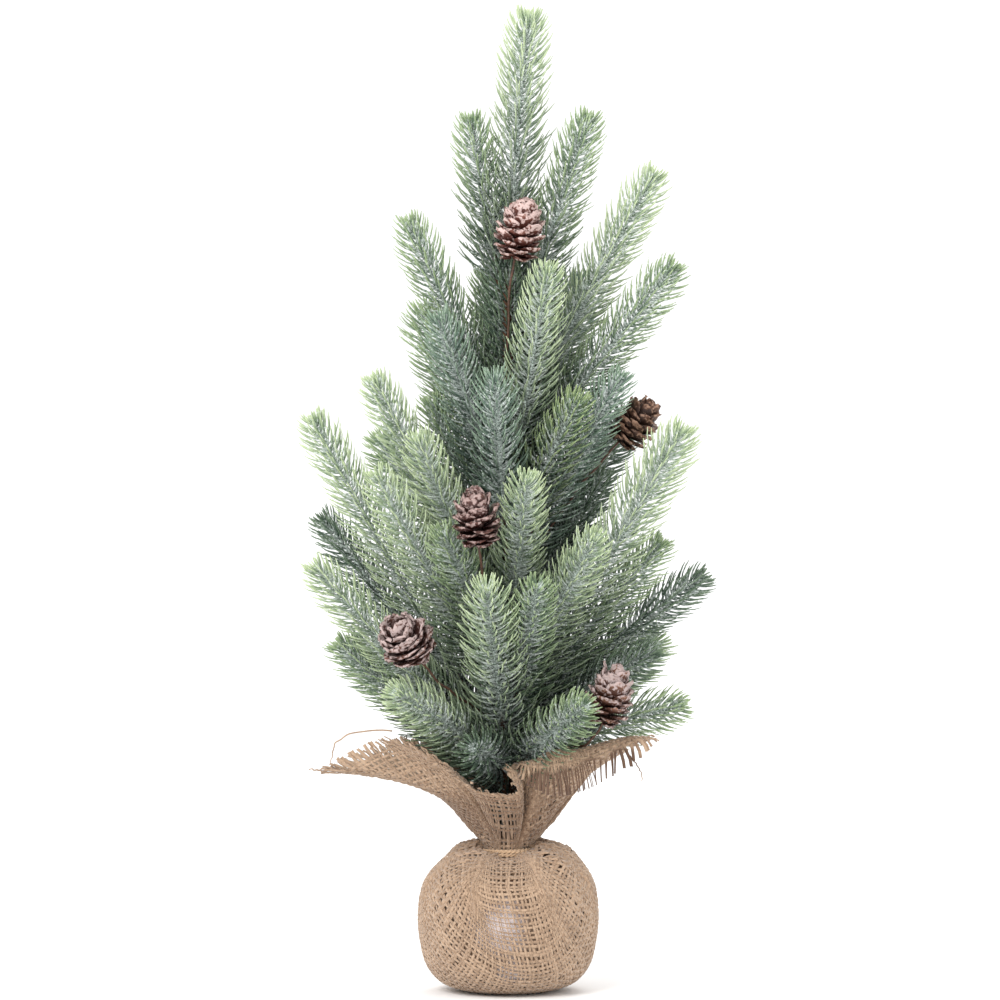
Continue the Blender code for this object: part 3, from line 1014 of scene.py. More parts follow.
@dataclass
class PineCone:
    """A dried cone of woody scales, on its crooked wire.

    scale_half_width is right for a cone of the usual radius, and goes with the radius. core_share is
    the core's radius as a share of the cone's, and spread how far the scales stand past the CAD solid's
    own radius.
    """

    node: str
    finish: ScaleFinish
    rng: np.random.Generator
    scales: int = 38
    scale_half_width: float = 6.0 * MM
    scale_thickness: float = 0.95 * MM
    core_share: float = 0.3
    spread: float = 1.12
    tilt_scatter: float = 0.09
    length_scatter: float = 0.09
    width_scatter: float = 0.13
    roughness: float = 0.42 * MM
    usual_radius: float = 12.5 * MM
    end_start: float = 0.62
    end_length: float = 0.385

    def __post_init__(self) -> None:
        """Reads the cone's middle, axis and size from its CAD solid and the end of its wire."""
        points = vertices_of(self.node)
        self.middle = points.mean(axis=0)
        wire = vertices_of(self.node + "_wire")
        gap = np.linalg.norm(wire - self.middle, axis=1)
        self.wire_end = wire[gap < gap.min() + 0.3 * MM].mean(axis=0)
        self.axis = unit(self.middle - self.wire_end)
        height = (points - self.middle) @ self.axis
        self.half = float(height.max())
        lateral = points - self.middle - height[:, None] * self.axis
        self.radius = float(np.linalg.norm(lateral, axis=1).max())

    def profile(self, height: Array) -> Array:
        """The cone's outer radius at a share of its height: a blunt egg, fuller below its middle."""
        return self.radius * np.sin(np.pi * np.clip(0.1 + 0.84 * height, 0, 1) ** 0.8) ** 0.62

    def scale_sizes(self, height: Array, station: Array) -> tuple[Array, Array]:
        """The scales' half widths and half thicknesses.

        A scale widens up to where its rounded end starts, which is a quarter of an ellipse.

        Args:
            height: Each scale's share of the cone's height.
            station: Shares of a scale's length.

        Returns:
            The half widths of shape (scales, stations), and the half thicknesses, one for each station.
        """
        size = 0.45 + 0.55 * np.sin(np.pi * (0.12 + 0.7 * height))
        size = size * self.rng.normal(1, self.width_scatter, len(height))
        size = size[:, None] * self.scale_half_width * (self.radius / self.usual_radius)
        past = np.clip(station - self.end_start, 0, 1) / self.end_length
        rounding = np.sqrt(np.clip(1 - past**2, 0.02, 1))
        widening = 0.42 + 0.58 * np.sin(0.5 * np.pi * np.clip(station / self.end_start, 0, 1))
        thick = self.scale_thickness * (1.1 - 0.3 * station) * np.clip(rounding, 0.45, 1)
        return size * widening * rounding, thick

    def scale_skin(self) -> Skin:
        """The scales, set by the golden angle from the foot of the cone to its top.

        A scale is a flat tube. Its face is cupped, and its slope to the cone's axis goes from wide at
        its foot to steeper at its rim.

        Returns:
            The skin of all the scales.
        """
        count = self.scales
        height = (np.arange(count) + 0.5) / count
        turn = np.arange(count) * math.radians(137.5) + self.rng.normal(0, 0.05, count)
        first = unit(np.cross(self.axis, np.array((0.2, 0.9, 0.35))))
        second = np.cross(self.axis, first)
        out = first * np.cos(turn)[:, None] + second * np.sin(turn)[:, None]
        aside = np.cross(np.broadcast_to(self.axis, out.shape), out)
        station = np.array((0.0, 0.3, 0.55, 0.76, 0.9, 0.975, 1.0))
        start = np.radians(112 - 96 * height**1.3)
        end = np.radians(80 - 92 * height**1.2)
        tilt = self.rng.normal(0, self.tilt_scatter, count)
        start, end = start + tilt, end + 1.3 * tilt - 0.02
        slope, along, outwards = bent_courses(start, end, station)
        reach = self.profile(height) - self.core_share * self.radius * (1 - 0.6 * height)
        floor = np.maximum(outwards[:, -1], 0.22)
        length = np.clip(reach / floor, 3.5 * MM, 15 * MM)
        length = length * self.rng.normal(1, self.length_scatter, count)
        foot_height = (2 * height - 1) * self.half * 0.92 - (along[:, -1] * length) * 0.55
        foot = self.middle + foot_height[:, None] * self.axis
        foot = foot + out * (self.core_share * self.radius * 0.5)
        path = foot[:, None] + length[:, None, None] * (
            along[..., None] * self.axis + outwards[..., None] * out[:, None]
        )
        face = np.sin(slope)[..., None] * self.axis - np.cos(slope)[..., None] * out[:, None]
        wide, thick = self.scale_sizes(height, station)
        side = np.broadcast_to(aside[:, None], path.shape)
        rings = rings_round(path, face, side, thick, wide, 8)
        angle = ring_angles(8)
        cup = np.sin(angle) ** 2 * 0.32
        rings = rings + face[:, :, None] * (wide[..., None] * cup)[..., None]
        rough = self.rng.normal(0, self.roughness, rings.shape) * (station**2)[:, None, None]
        rings = self.fitted(rings + rough)
        traits = {
            "scale": station[:, None],
            "rim": np.broadcast_to(np.abs(np.sin(angle)), (1, 1, 8)),
            "height": height[:, None, None],
            "chance": self.rng.uniform(0, 1, count)[:, None, None],
        }
        return swept(rings, traits, slimness=1.2)

    def fitted(self, rings: Array) -> Array:
        """Stretches the scales across and along the cone's axis so that they just fill its CAD size."""
        away = rings - self.middle
        height = away @ self.axis
        lateral = away - height[..., None] * self.axis
        broad = self.spread * self.radius / np.percentile(np.linalg.norm(lateral, axis=-1), 99)
        low, high = np.percentile(height, (0.5, 99.5))
        height = (height - low) / (high - low) * 2 * self.half - self.half
        return self.middle + lateral * broad + height[..., None] * self.axis

    def core_skin(self) -> Skin:
        """The cone's woody core, a slim tube with round ends."""
        share = np.linspace(-0.96, 0.9, 10)
        path = (self.middle + share[:, None] * self.half * self.axis)[None]
        radius = self.core_share * self.radius * np.sqrt(np.clip(1 - share**2, 0.01, 1))
        none = np.zeros(1)
        traits = {"scale": np.full(1, 0.1), "rim": none, "height": none, "chance": none}
        return swept(wire_rings(path, radius, 8), traits)

    def wire_skin(self) -> Skin:
        """The wire, with small kinks, from the trunk's tape to the foot of the cone.

        Its line is the CAD wire's: the sum of the root, the knee and the end with the weights
        (1 - t) squared, 2 t (1 - t) and t squared.

        Returns:
            The wire's skin.
        """
        joint = next(joint for joint in frame["joints"] if joint["child"] == self.node)
        root = np.array(joint["pos_m"], float)
        knee = self.wire_end - self.axis * np.linalg.norm(self.wire_end - root) * 0.45
        end = self.wire_end + self.axis * 4 * MM
        share = np.linspace(0, 1, 40)[:, None]
        path = root * (1 - share) ** 2 + knee * 2 * share * (1 - share) + end * share**2
        phase = self.rng.uniform(0, 6, 4)
        kinks = np.concatenate([np.sin(share * (11 + 7 * k) + phase[k]) for k in range(3)], axis=1)
        path = path + kinks * 0.55 * MM * np.sin(np.pi * share)
        radius = 0.62 * MM + 0.08 * MM * np.sin(share[:, 0] * 60)
        traits = {"run": np.linspace(0, 60, 40)[:, None], "chance": np.zeros(1)}
        return swept(wire_rings(path[None], radius, 8), traits, slimness=20.0)

    def build(self, wire_finish: bpy.types.Material) -> None:
        """Makes the cone and its wire in place of their CAD solids."""
        skin = joined([self.scale_skin(), self.core_skin()])
        cone = piece(self.node + "_scales", skin, self.node, [self.finish.material()])
        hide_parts(self.node)
        wire = piece(self.node + "_stalk", self.wire_skin(), self.node, [wire_finish])
        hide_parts(self.node + "_wire")


CONE_FINISHES = {
    "pine_cone_top": ScaleFinish(
        "cone_frosted", paint(74, 32, 22), paint(132, 78, 60), paint(216, 190, 184), 0.85, 0.45
    ),
    "pine_cone_right": ScaleFinish(
        "cone_plain", paint(48, 28, 20), paint(112, 76, 56), paint(176, 140, 118), 0.65
    ),
    "pine_cone_centre": ScaleFinish(
        "cone_glossy", paint(48, 20, 16), paint(98, 54, 44), paint(204, 178, 172), 0.6, 0.3, 0.4
    ),
    "pine_cone_left": ScaleFinish(
        "cone_rimmed", paint(56, 28, 22), paint(116, 76, 62), paint(214, 194, 190), 0.65, 0.3
    ),
    "pine_cone_low_right": ScaleFinish(
        "cone_tan", paint(70, 38, 26), paint(138, 94, 70), paint(208, 190, 188), 0.65, 0.45
    ),
}


@dataclass
class Cones:
    """The five cones, each with its own dusting."""

    rng: np.random.Generator

    def build(self) -> None:
        """Makes every cone with its wire."""
        wire = MetalFinish("wire_brown_paint", paint(88, 58, 42), paint(52, 34, 26), 0.55, 0.0)
        wire_finish = wire.material()
        for node, finish in CONE_FINISHES.items():
            PineCone(node, finish, self.rng).build(wire_finish)


# ---------------------------------------------------------------- burlap

# The cloth's edge: its direction on the flat square in degrees, then its place in millimetres.
# Heights are counted from the shoulder.
COLLAR_EDGE = (
    (0, (36, 6, 44)),
    (30, (50, 30, 54)),
    (45, (60, 50, 50)),
    (60, (38, 50, 56)),
    (90, (0, 36, 38)),
    (120, (-36, 48, 56)),
    (135, (-62, 56, 52)),
    (150, (-54, 28, 58)),
    (180, (-40, 6, 48)),
    (205, (-62, -4, 55)),
    (217, (-80, -14, 51)),
    (225, (-92, -24, 45)),
    (233, (-64, -36, 61)),
    (243, (-40, -42, 54)),
    (256, (-20, -37, 38)),
    (270, (-6, -34, 34)),
    (284, (4, -34, 35)),
    (289, (-1, -32, 48)),
    (296, (20, -40, 37)),
    (307, (44, -42, 42)),
    (315, (74, -34, 61)),
    (325, (62, -18, 57)),
    (342, (46, -4, 49)),
)

# The directions on the flat square where the gathered cloth is tucked into a crease.
CREASES = (22.0, 68.0, 112.0, 158.0, 196.0, 246.0, 292.0, 338.0)

# The sack's outline from the edge of its foot to its shoulder, as shares of the ball's radius and
# height. The puffed one is for where the loose cloth stands up round the tie.
BALL_OUTLINE = (
    (0.74, 0.06),
    (0.91, 0.19),
    (0.985, 0.38),
    (1.0, 0.58),
    (0.94, 0.77),
    (0.77, 0.9),
    (0.52, 0.975),
    (0.33, 1.0),
)
PUFFED_OUTLINE = (
    *BALL_OUTLINE[:3],
    (1.01, 0.58),
    (0.97, 0.8),
    (0.84, 0.95),
    (0.62, 1.06),
    (0.38, 1.12),
)


@dataclass(frozen=True)
class Fold:
    """A soft fold that stands off the sack.

    It lies in the direction turn, in degrees, at the distance arc from the cloth's middle, in
    millimetres, and each of the two has its width.
    """

    turn: float
    turn_width: float
    arc: float
    arc_width: float
    height: float


FOLDS = (
    Fold(318, 8, 104, 9, 4.0 * MM),
    Fold(300, 5, 106, 8, 2.0 * MM),
    Fold(238, 3.5, 98, 14, 2.2 * MM),
    Fold(249, 3.0, 102, 8, 1.4 * MM),
    Fold(206, 6, 112, 9, 2.0 * MM),
    Fold(150, 5, 110, 12, 2.6 * MM),
    Fold(98, 6, 109, 10, 3.0 * MM),
    Fold(52, 5, 110, 12, 2.4 * MM),
    Fold(8, 6, 110, 10, 2.6 * MM),
)


@dataclass(frozen=True)
class Opening:
    """A ball in which the weave has slipped open, and how much thinner its yarns are."""

    ball: Ball
    thinning: float


OPENINGS = (
    Opening(ball(-6, -46, 36, 14), 0.7),
    Opening(ball(2, -42, 10, 9), 0.4),
    Opening(ball(0, -30, 63, 10), 0.3),
    Opening(ball(-8, -30, 94, 12), 0.16),
    Opening(ball(46, -42, 112, 15), 0.55),
    Opening(ball(-62, -34, 124, 10), 0.45),
)

# How much wider than each of the first two openings the ball is in which the plaster has no painted
# shade.
CLEAR_SPREAD = 1.15

# Balls in which the cloth hangs in its own shade and has darkened.
SHADED = (
    ball(17, -38, 104, 12),
    ball(30, -42, 104, 14),
    ball(44, -43, 109, 14),
    ball(58, -41, 117, 11),
)


@dataclass
class Cloth:
    """The square of burlap as a surface: a flat place (x, y) on the square goes to a point in space.

    The distance from the square's middle runs along the ball's outline up to the neck, and past it
    along a cubic from the neck to the cloth's edge. The direction from the middle is the direction
    round the axis, apart from the gathers and from the twist, in degrees, round the foot. Cloth that is
    gathered more than tuck_from times is tucked in at the creases. The turns are directions in degrees:
    of the collar's roll and keel, and of where the sack is smooth and not puffed.
    """

    half: float = 160 * MM
    thickness: float = 1.6 * MM
    clearance: float = 0.6 * MM
    foot_radius: float = 22 * MM
    neck_radius: float = 10.6 * MM
    neck_height: float = 5.1 * MM
    twist: float = 16.0
    knee_radius: float = 38 * MM
    knee_rise: float = 30 * MM
    knee_gather: float = 3.4
    tuck_from: float = 1.3
    roll_turn: float = 304.0
    roll_width: float = 15.0
    roll_rise: float = 50 * MM
    keel_turn: float = 227.0
    keel_width: float = 12.0
    smooth_front: float = 268.0
    smooth_left: float = 185.0

    def __post_init__(self) -> None:
        """Reads the ball's size from the frame and lays out the sack's outline and the collar's edge."""
        inset = self.thickness + self.clearance
        weight_low, weight_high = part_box("ballast_weight")
        self.ball_radius = (weight_high.x - weight_low.x) / 2 + inset
        self.shoulder = weight_high.z + inset
        self.outline = self.sack_outline(BALL_OUTLINE)
        self.puffed = self.sack_outline(PUFFED_OUTLINE)
        steps = np.linalg.norm(np.diff(self.outline, axis=0), axis=1)
        self.arc = np.concatenate(([0.0], np.cumsum(steps)))
        self.neck_arc = float(self.arc[-1])
        keys = np.array([place for _, place in COLLAR_EDGE]) * MM + np.array((0, 0, self.shoulder))
        self.edge_keys = np.concatenate((keys[-1:], keys, keys[:2]))
        self.edge_turns = np.array([turn for turn, _ in COLLAR_EDGE] + [360.0])
        self.ring = np.arange(0.0, 361.0)
        flat = self.to_edge(np.radians(self.ring))
        steps = np.linalg.norm(np.gradient(self.edge(self.ring % 360), axis=0), axis=-1)
        share = np.clip(np.radians(1) * flat / np.maximum(steps, 0.05 * MM), 1.0, 5.0)
        wrapped = np.concatenate((share[-9:-1], share, share[1:9]))
        self.edge_gather = np.convolve(wrapped, np.ones(17) / 17, "valid")

    def sack_outline(self, shares: tuple[tuple[float, float], ...]) -> Array:
        """The cloth's course from the middle of the floor to the neck's top, as (radius, height).

        Args:
            shares: The outline's points, as shares of the ball's radius and height.

        Returns:
            The course of the middle of the cloth's thickness.
        """
        keys = [(self.foot_radius * 0.8, 0.0), (self.foot_radius, 0.0)]
        keys += [(r * self.ball_radius, z * self.shoulder) for r, z in shares]
        smooth = smooth_line(np.array(keys), np.linspace(0, 1, 120))
        way = unit(np.gradient(smooth, axis=0))
        smooth = smooth + np.stack((-way[:, 1], way[:, 0]), axis=1) * self.thickness / 2
        smooth[:, 1] = np.maximum(smooth[:, 1], self.thickness / 2)
        neck_top = self.shoulder + self.neck_height
        neck = [(self.neck_radius, self.shoulder), (self.neck_radius, neck_top)]
        return np.concatenate(([(0.0, self.thickness / 2)], smooth, neck))

    def to_edge(self, radians: Array) -> Array:
        """How far the flat square's edge is from its middle in this direction."""
        return self.half / np.maximum(np.abs(np.cos(radians)), np.abs(np.sin(radians)))

    def gathered(self, turn: Array, gather: Array) -> tuple[Array, Array]:
        """Shifts directions so that the cloth shows at its full width between creases.

        Between two creases the new direction follows a hyperbolic tangent whose slope at the middle is
        about the gather, that is how many times wider the cloth is than the room it has.

        Args:
            turn: Directions in degrees, from 0 to 360.
            gather: The gather, which broadcasts to them.

        Returns:
            The new directions, and how far each is tucked in, from 0 on show to 1 at a crease.
        """
        edges = np.array((*CREASES, CREASES[0] + 360.0))
        spot = (turn - CREASES[0]) % 360 + CREASES[0]
        low = np.clip(np.searchsorted(edges, spot, side="right") - 1, 0, len(CREASES) - 1)
        middle = (edges[low] + edges[low + 1]) / 2
        half = (edges[low + 1] - edges[low]) / 2
        place = (spot - middle) / half
        pull = np.sqrt(np.maximum(gather**2 - 1, 1e-3))
        shown = np.tanh(pull * place) / np.tanh(pull)
        room = np.maximum(gather - self.tuck_from, 0.2)
        tuck = np.clip((np.abs(place) * gather - self.tuck_from) / room, 0, 1)
        return (middle + half * shown) % 360, tuck**2 * (3 - 2 * tuck)

    def edge(self, turn: Array) -> Array:
        """The cloth's edge in this direction of the flat square, in degrees from 0 to 360."""
        low = np.searchsorted(self.edge_turns, turn, side="right") - 1
        low = np.clip(low, 0, len(COLLAR_EDGE) - 1)
        span = self.edge_turns[low + 1] - self.edge_turns[low]
        return cubic_between(self.edge_keys, low + 1 + (turn - self.edge_turns[low]) / span)

    def collar(self, turn: Array, share: Array) -> Array:
        """The collar at this direction and share of the way from the neck to the cloth's edge.

        Its course is a cubic with the neck and the edge at its ends and a knee that pulls on both
        sides. On the right the cloth rises higher, rolls over and hangs to its edge, and on the left it
        has a keel.

        Args:
            turn: Directions in degrees, from 0 to 360.
            share: 0 at the neck and 1 at the edge.

        Returns:
            The points.
        """
        neck_top = self.shoulder + self.neck_height
        around, tuck = self.gathered(turn, np.full_like(turn, self.neck_arc / self.neck_radius))
        neck = level(around) * (self.neck_radius * (1 - 0.3 * tuck))[..., None] + UP * neck_top
        around, tuck = self.gathered(turn, np.full_like(turn, self.knee_gather))
        knee = level(around) * (self.knee_radius - 13 * MM * tuck)[..., None]
        knee = knee + UP * (neck_top + self.knee_rise)
        around, tuck = self.gathered(turn, np.interp(turn, self.ring, self.edge_gather))
        edge = self.edge(around) - level(around) * (9 * MM * tuck)[..., None]
        roll_pull = np.array((0, 4 * MM, self.roll_rise))
        roll = hump(turn - self.roll_turn, self.roll_width)[..., None] * roll_pull
        keel = hump(turn - self.keel_turn, self.keel_width)[..., None] * UP * MM
        first = neck + (knee - neck) * 2 / 3 + keel * 6
        second = edge + (knee - edge) * 2 / 3 + roll + keel * 5
        t = share[..., None]
        low = neck * (1 - t) ** 3 + first * 3 * t * (1 - t) ** 2
        return low + second * 3 * t**2 * (1 - t) + edge * t**3

    def at(self, x: Array, y: Array) -> Array:
        """The middle of the cloth's thickness at a flat place.

        Args:
            x: Places across the square, from -half to half.
            y: Places along it.

        Returns:
            Points of the shape of x with a last axis of 3.
        """
        distance = np.hypot(x, y)
        radians = np.arctan2(y, x)
        turn = np.degrees(radians) % 360
        low, high = (
            np.stack([np.interp(distance, self.arc, line[:, k]) for k in (0, 1)])
            for line in (self.outline, self.puffed)
        )
        widest = self.neck_arc / self.neck_radius
        gather = np.clip(distance / np.maximum(low[0], 1 * MM), 1.0, widest)
        around, tuck = self.gathered(turn, gather)
        around = (around + self.twist * (1 - eased(distance / MM, 45, 45))) % 360
        smooth = 0.95 * hump(turned_from(around, self.smooth_front), 50.0)
        smooth = smooth + 0.4 * hump(turned_from(around, self.smooth_left), 30.0)
        radius, height = low + (high - low) * (1 - smooth)
        wrinkles = self.wrinkles(around, distance)
        pleats = tuck * (1 - tuck) * 5.2 * MM * np.clip(gather - self.tuck_from, 0, 1)
        lift = wrinkles + pleats
        for fold in FOLDS:
            across = hump(turned_from(around, fold.turn), fold.turn_width)
            lift = lift + fold.height * across * hump(distance / MM - fold.arc, fold.arc_width)
        slope = eased(distance / MM, 85, 35)
        near_neck = eased(distance / MM, 92, 12)
        radius = radius * (1 - 0.3 * tuck * near_neck) + lift * (1 - 0.6 * slope)
        sack = level(around) * radius[..., None]
        sack[..., 2] = height + lift * 0.8 * slope
        share = (distance - self.neck_arc) / (self.to_edge(radians) - self.neck_arc)
        collar = self.collar(turn, np.clip(share, 0, 1.04)) + level(around) * wrinkles[..., None]
        return np.where((share > 0)[..., None], collar, sack)

    def wrinkles(self, turn: Array, distance: Array) -> Array:
        """How far the cloth stands out in wrinkles, which fade within about 20 mm of the tie."""
        radians = np.radians(turn)
        wave = 0.4 * np.cos(13 * radians + 1) + 0.35 * np.cos(21 * radians + 2.2)
        wave = wave + 0.25 * np.cos(34 * radians)
        past = (distance - self.neck_arc) / MM
        size = 1.3 * hump(past + 17, 9.0) + 1.0 * hump(past - 9, 7.0)
        return (wave + 0.7) * size * MM

    def axes(self, x: Array, y: Array) -> tuple[Array, Array, Array, Array]:
        """The cloth's outward normal and its two slopes, from small steps to each side.

        Args:
            x: Places across the square.
            y: Places along it.

        Returns:
            The unit normal, how far the point moves for a step in x and in y, and the point itself.
        """
        step = 0.8 * MM
        right = (self.at(x + step, y) - self.at(x - step, y)) / (2 * step)
        ahead = (self.at(x, y + step) - self.at(x, y - step)) / (2 * step)
        normal = unit(np.cross(ahead, right))
        return normal, right, ahead, self.at(x, y)


class Way(Enum):
    """The two sets of yarns of a plain weave."""

    WARP = "warp"
    WEFT = "weft"


@dataclass
class Burlap:
    """The woven square round the weight: two sets of yarns, loose threads and fuzz.

    frayed is how much of each yarn's end has lost its crossing yarns, and fuzz how many fibres stand up.
    """

    rng: np.random.Generator
    cloth: Cloth = field(default_factory=Cloth)
    yarns: int = 131
    half_width: float = 1.06 * MM
    half_thickness: float = 0.36 * MM
    crimp: float = 0.34 * MM
    frayed: float = 5.5 * MM
    fuzz: int = 900
    sides: int = 4

    def thinning(self, points: Array) -> Array:
        """How much of a yarn's width is left at these points: 1, and less where the weave is open."""
        left = np.ones(points.shape[:-1])
        for opening in OPENINGS:
            *middle, radius = opening.ball
            away = np.linalg.norm(points - np.array(middle), axis=-1)
            left = left - opening.thinning * hump(away, radius)
        return np.clip(left, 0.3, 1)

    def yarn_set(self, way: Way, front: bool) -> Skin:
        """One half of one set of yarns.

        A yarn's centre line is the cloth at an even step from its neighbour, plus the crimp times the
        cosine of its place in steps, so that it passes over one crossing yarn and under the next.
        Neighbours and the two sets are half a wave apart.

        Args:
            way: Which set.
            front: Whether it is the half of the cloth on the viewer's side.

        Returns:
            The yarns' skin.
        """
        half = self.cloth.half
        step = 2 * (half - self.frayed) / (self.yarns - 1)
        number = np.arange(self.yarns)
        centre = (self.yarns - 1) / 2
        fixed = (number - centre) * step
        # One point for each crossing, and three more past the last one for the frayed end.
        place = (np.arange(-3, self.yarns + 3) - centre) * step
        place = np.clip(place, -half - 1 * MM, half + 1 * MM)
        if way is Way.WARP:
            place = place[place <= 1e-6] if front else place[place >= -1e-6]
        else:
            chosen = fixed < -1e-6 if front else fixed > -1e-6
            number, fixed = number[chosen], fixed[chosen]
        phase = self.rng.uniform(0, 2 * np.pi, (2, len(fixed), 1))
        drift = 0.5 * np.sin(place / (23 * MM) + phase[0])
        drift = drift + 0.3 * np.sin(place / (7 * MM) + phase[1])
        line = fixed[:, None] + drift * MM
        course = np.broadcast_to(place, line.shape)
        x, y = (line, course) if way is Way.WARP else (course, line)
        normal, right, ahead, middle = self.cloth.axes(x, y)
        own, other = (ahead, right) if way is Way.WARP else (right, ahead)
        gather = np.clip(np.linalg.norm(other, axis=-1), 0.3, 1.3)
        sign = np.where(number % 2 == 0, 1.0, -1.0)[:, None] * (1 if way is Way.WARP else -1)
        wave = sign * np.cos(np.pi * (course / step - centre))
        left = self.thinning(middle)
        slack = np.clip((np.abs(course) - (half - self.frayed)) / self.frayed, 0, 1)
        bent = self.rng.normal(0, 1.0, (2, len(fixed), 1)) * slack**1.5 * MM
        path = middle + normal * (self.crimp * wave * (0.4 + 0.6 * left) + bent[0])[..., None]
        across = unit(np.cross(normal, own))
        path = path + across * bent[1][..., None]
        swell = 1 + 0.12 * np.sin(course / (4.3 * MM) + phase[1])
        swell = swell + 0.1 * np.sin(course / (1.9 * MM) + phase[0])
        wide = self.half_width * gather**0.8 * left * swell
        thick = self.half_thickness * (0.65 + 0.35 * left) * swell
        rings = rings_round(path, across, normal, wide, thick, self.sides)[:, :, ::-1]
        chance = self.rng.uniform(0, 1, (len(fixed), 1, 1))
        traits = {"run": (course / MM)[..., None], "chance": chance}
        return swept(rings, traits, slimness=60.0)

    def fray(self) -> Skin:
        """Loose fibres that stand up from the cloth, most of them near its edge.

        Each leaves the cloth along its normal and curls: its course is a share of the normal plus a
        sine across it.

        Returns:
            The fibres' skin.
        """
        count = self.fuzz
        reach = self.cloth.half * self.rng.uniform(0.15, 1.0, (2, count)) ** 0.6
        x, y = reach * np.where(self.rng.uniform(0, 1, (2, count)) < 0.5, -1, 1)
        normal, right, ahead, middle = self.cloth.axes(x, y)
        mix = self.rng.normal(0, 1, (2, count, 1))
        aside = unit(unit(right) * mix[0] + unit(ahead) * mix[1])
        station = np.linspace(0, 1, 6)
        length = self.rng.uniform(1.5, 4.5, (count, 1)) * MM
        lift = length * station * self.rng.uniform(0.15, 0.7, (count, 1))
        curl = length * np.sin(station * self.rng.uniform(1, 3.5, (count, 1)))
        path = middle[:, None] + normal[:, None] * (0.6 * MM + lift)[..., None]
        path = path + aside[:, None] * curl[..., None]
        radius = 0.07 * MM * (1 - 0.6 * station)
        traits = {"run": (station * 3)[:, None], "chance": self.rng.uniform(0, 1, (count, 1, 1))}
        return swept(wire_rings(path, radius, 3), traits, slimness=6.0)

    def threads(self) -> Skin:
        """Three loose yarns.

        At the left corner one arches over and hangs and one sticks out. On the right a short one hangs.

        Returns:
            The yarns' skin.
        """
        courses = (
            (
                *((-58, -38, 66), (-72, -36, 66), (-82, -34, 63)),
                *((-87, -33, 59), (-88, -33, 54), (-89, -33, 50)),
            ),
            (
                *((-88, -24, 45), (-91, -25, 46), (-94, -25, 46)),
                *((-96, -25, 45.5), (-98, -26, 46), (-100, -26, 46)),
            ),
            (
                *((60, -36, 54), (63, -38, 51), (65, -39, 48)),
                *((66, -40, 46), (67, -40, 43), (67, -40, 41)),
            ),
        )
        share = np.linspace(0, 1, 30)
        path = np.stack([smooth_line(np.array(course) * MM, share) for course in courses])
        path = path + self.cloth.shoulder * UP
        wave = np.stack((np.sin(share * 31), np.cos(share * 27), np.sin(share * 23)), axis=-1)
        radius = np.array((0.42, 0.5, 0.34))[:, None] * MM * (1 - 0.5 * share**2)
        chance = np.array((0.8, 0.9, 0.6))[:, None, None]
        traits = {"run": (share * 40)[:, None], "chance": chance}
        return swept(wire_rings(path + 0.3 * MM * wave, radius, 6), traits, slimness=20.0)

    def build(self) -> None:
        """The square is cut into a front and a back piece only to keep each one's file small.
        """
        finish = YarnFinish("jute_yarn", paint(186, 158, 132), paint(122, 95, 73), shaded=SHADED)
        jute = finish.material()
        for name, front in (("burlap_front", True), ("burlap_back", False)):
            skin = joined([self.yarn_set(Way.WARP, front), self.yarn_set(Way.WEFT, front)])
            half = piece(name, skin, "base", [jute])
        fray = piece("burlap_fray", joined([self.fray(), self.threads()]), "base", [jute])
        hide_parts("burlap_wrap")


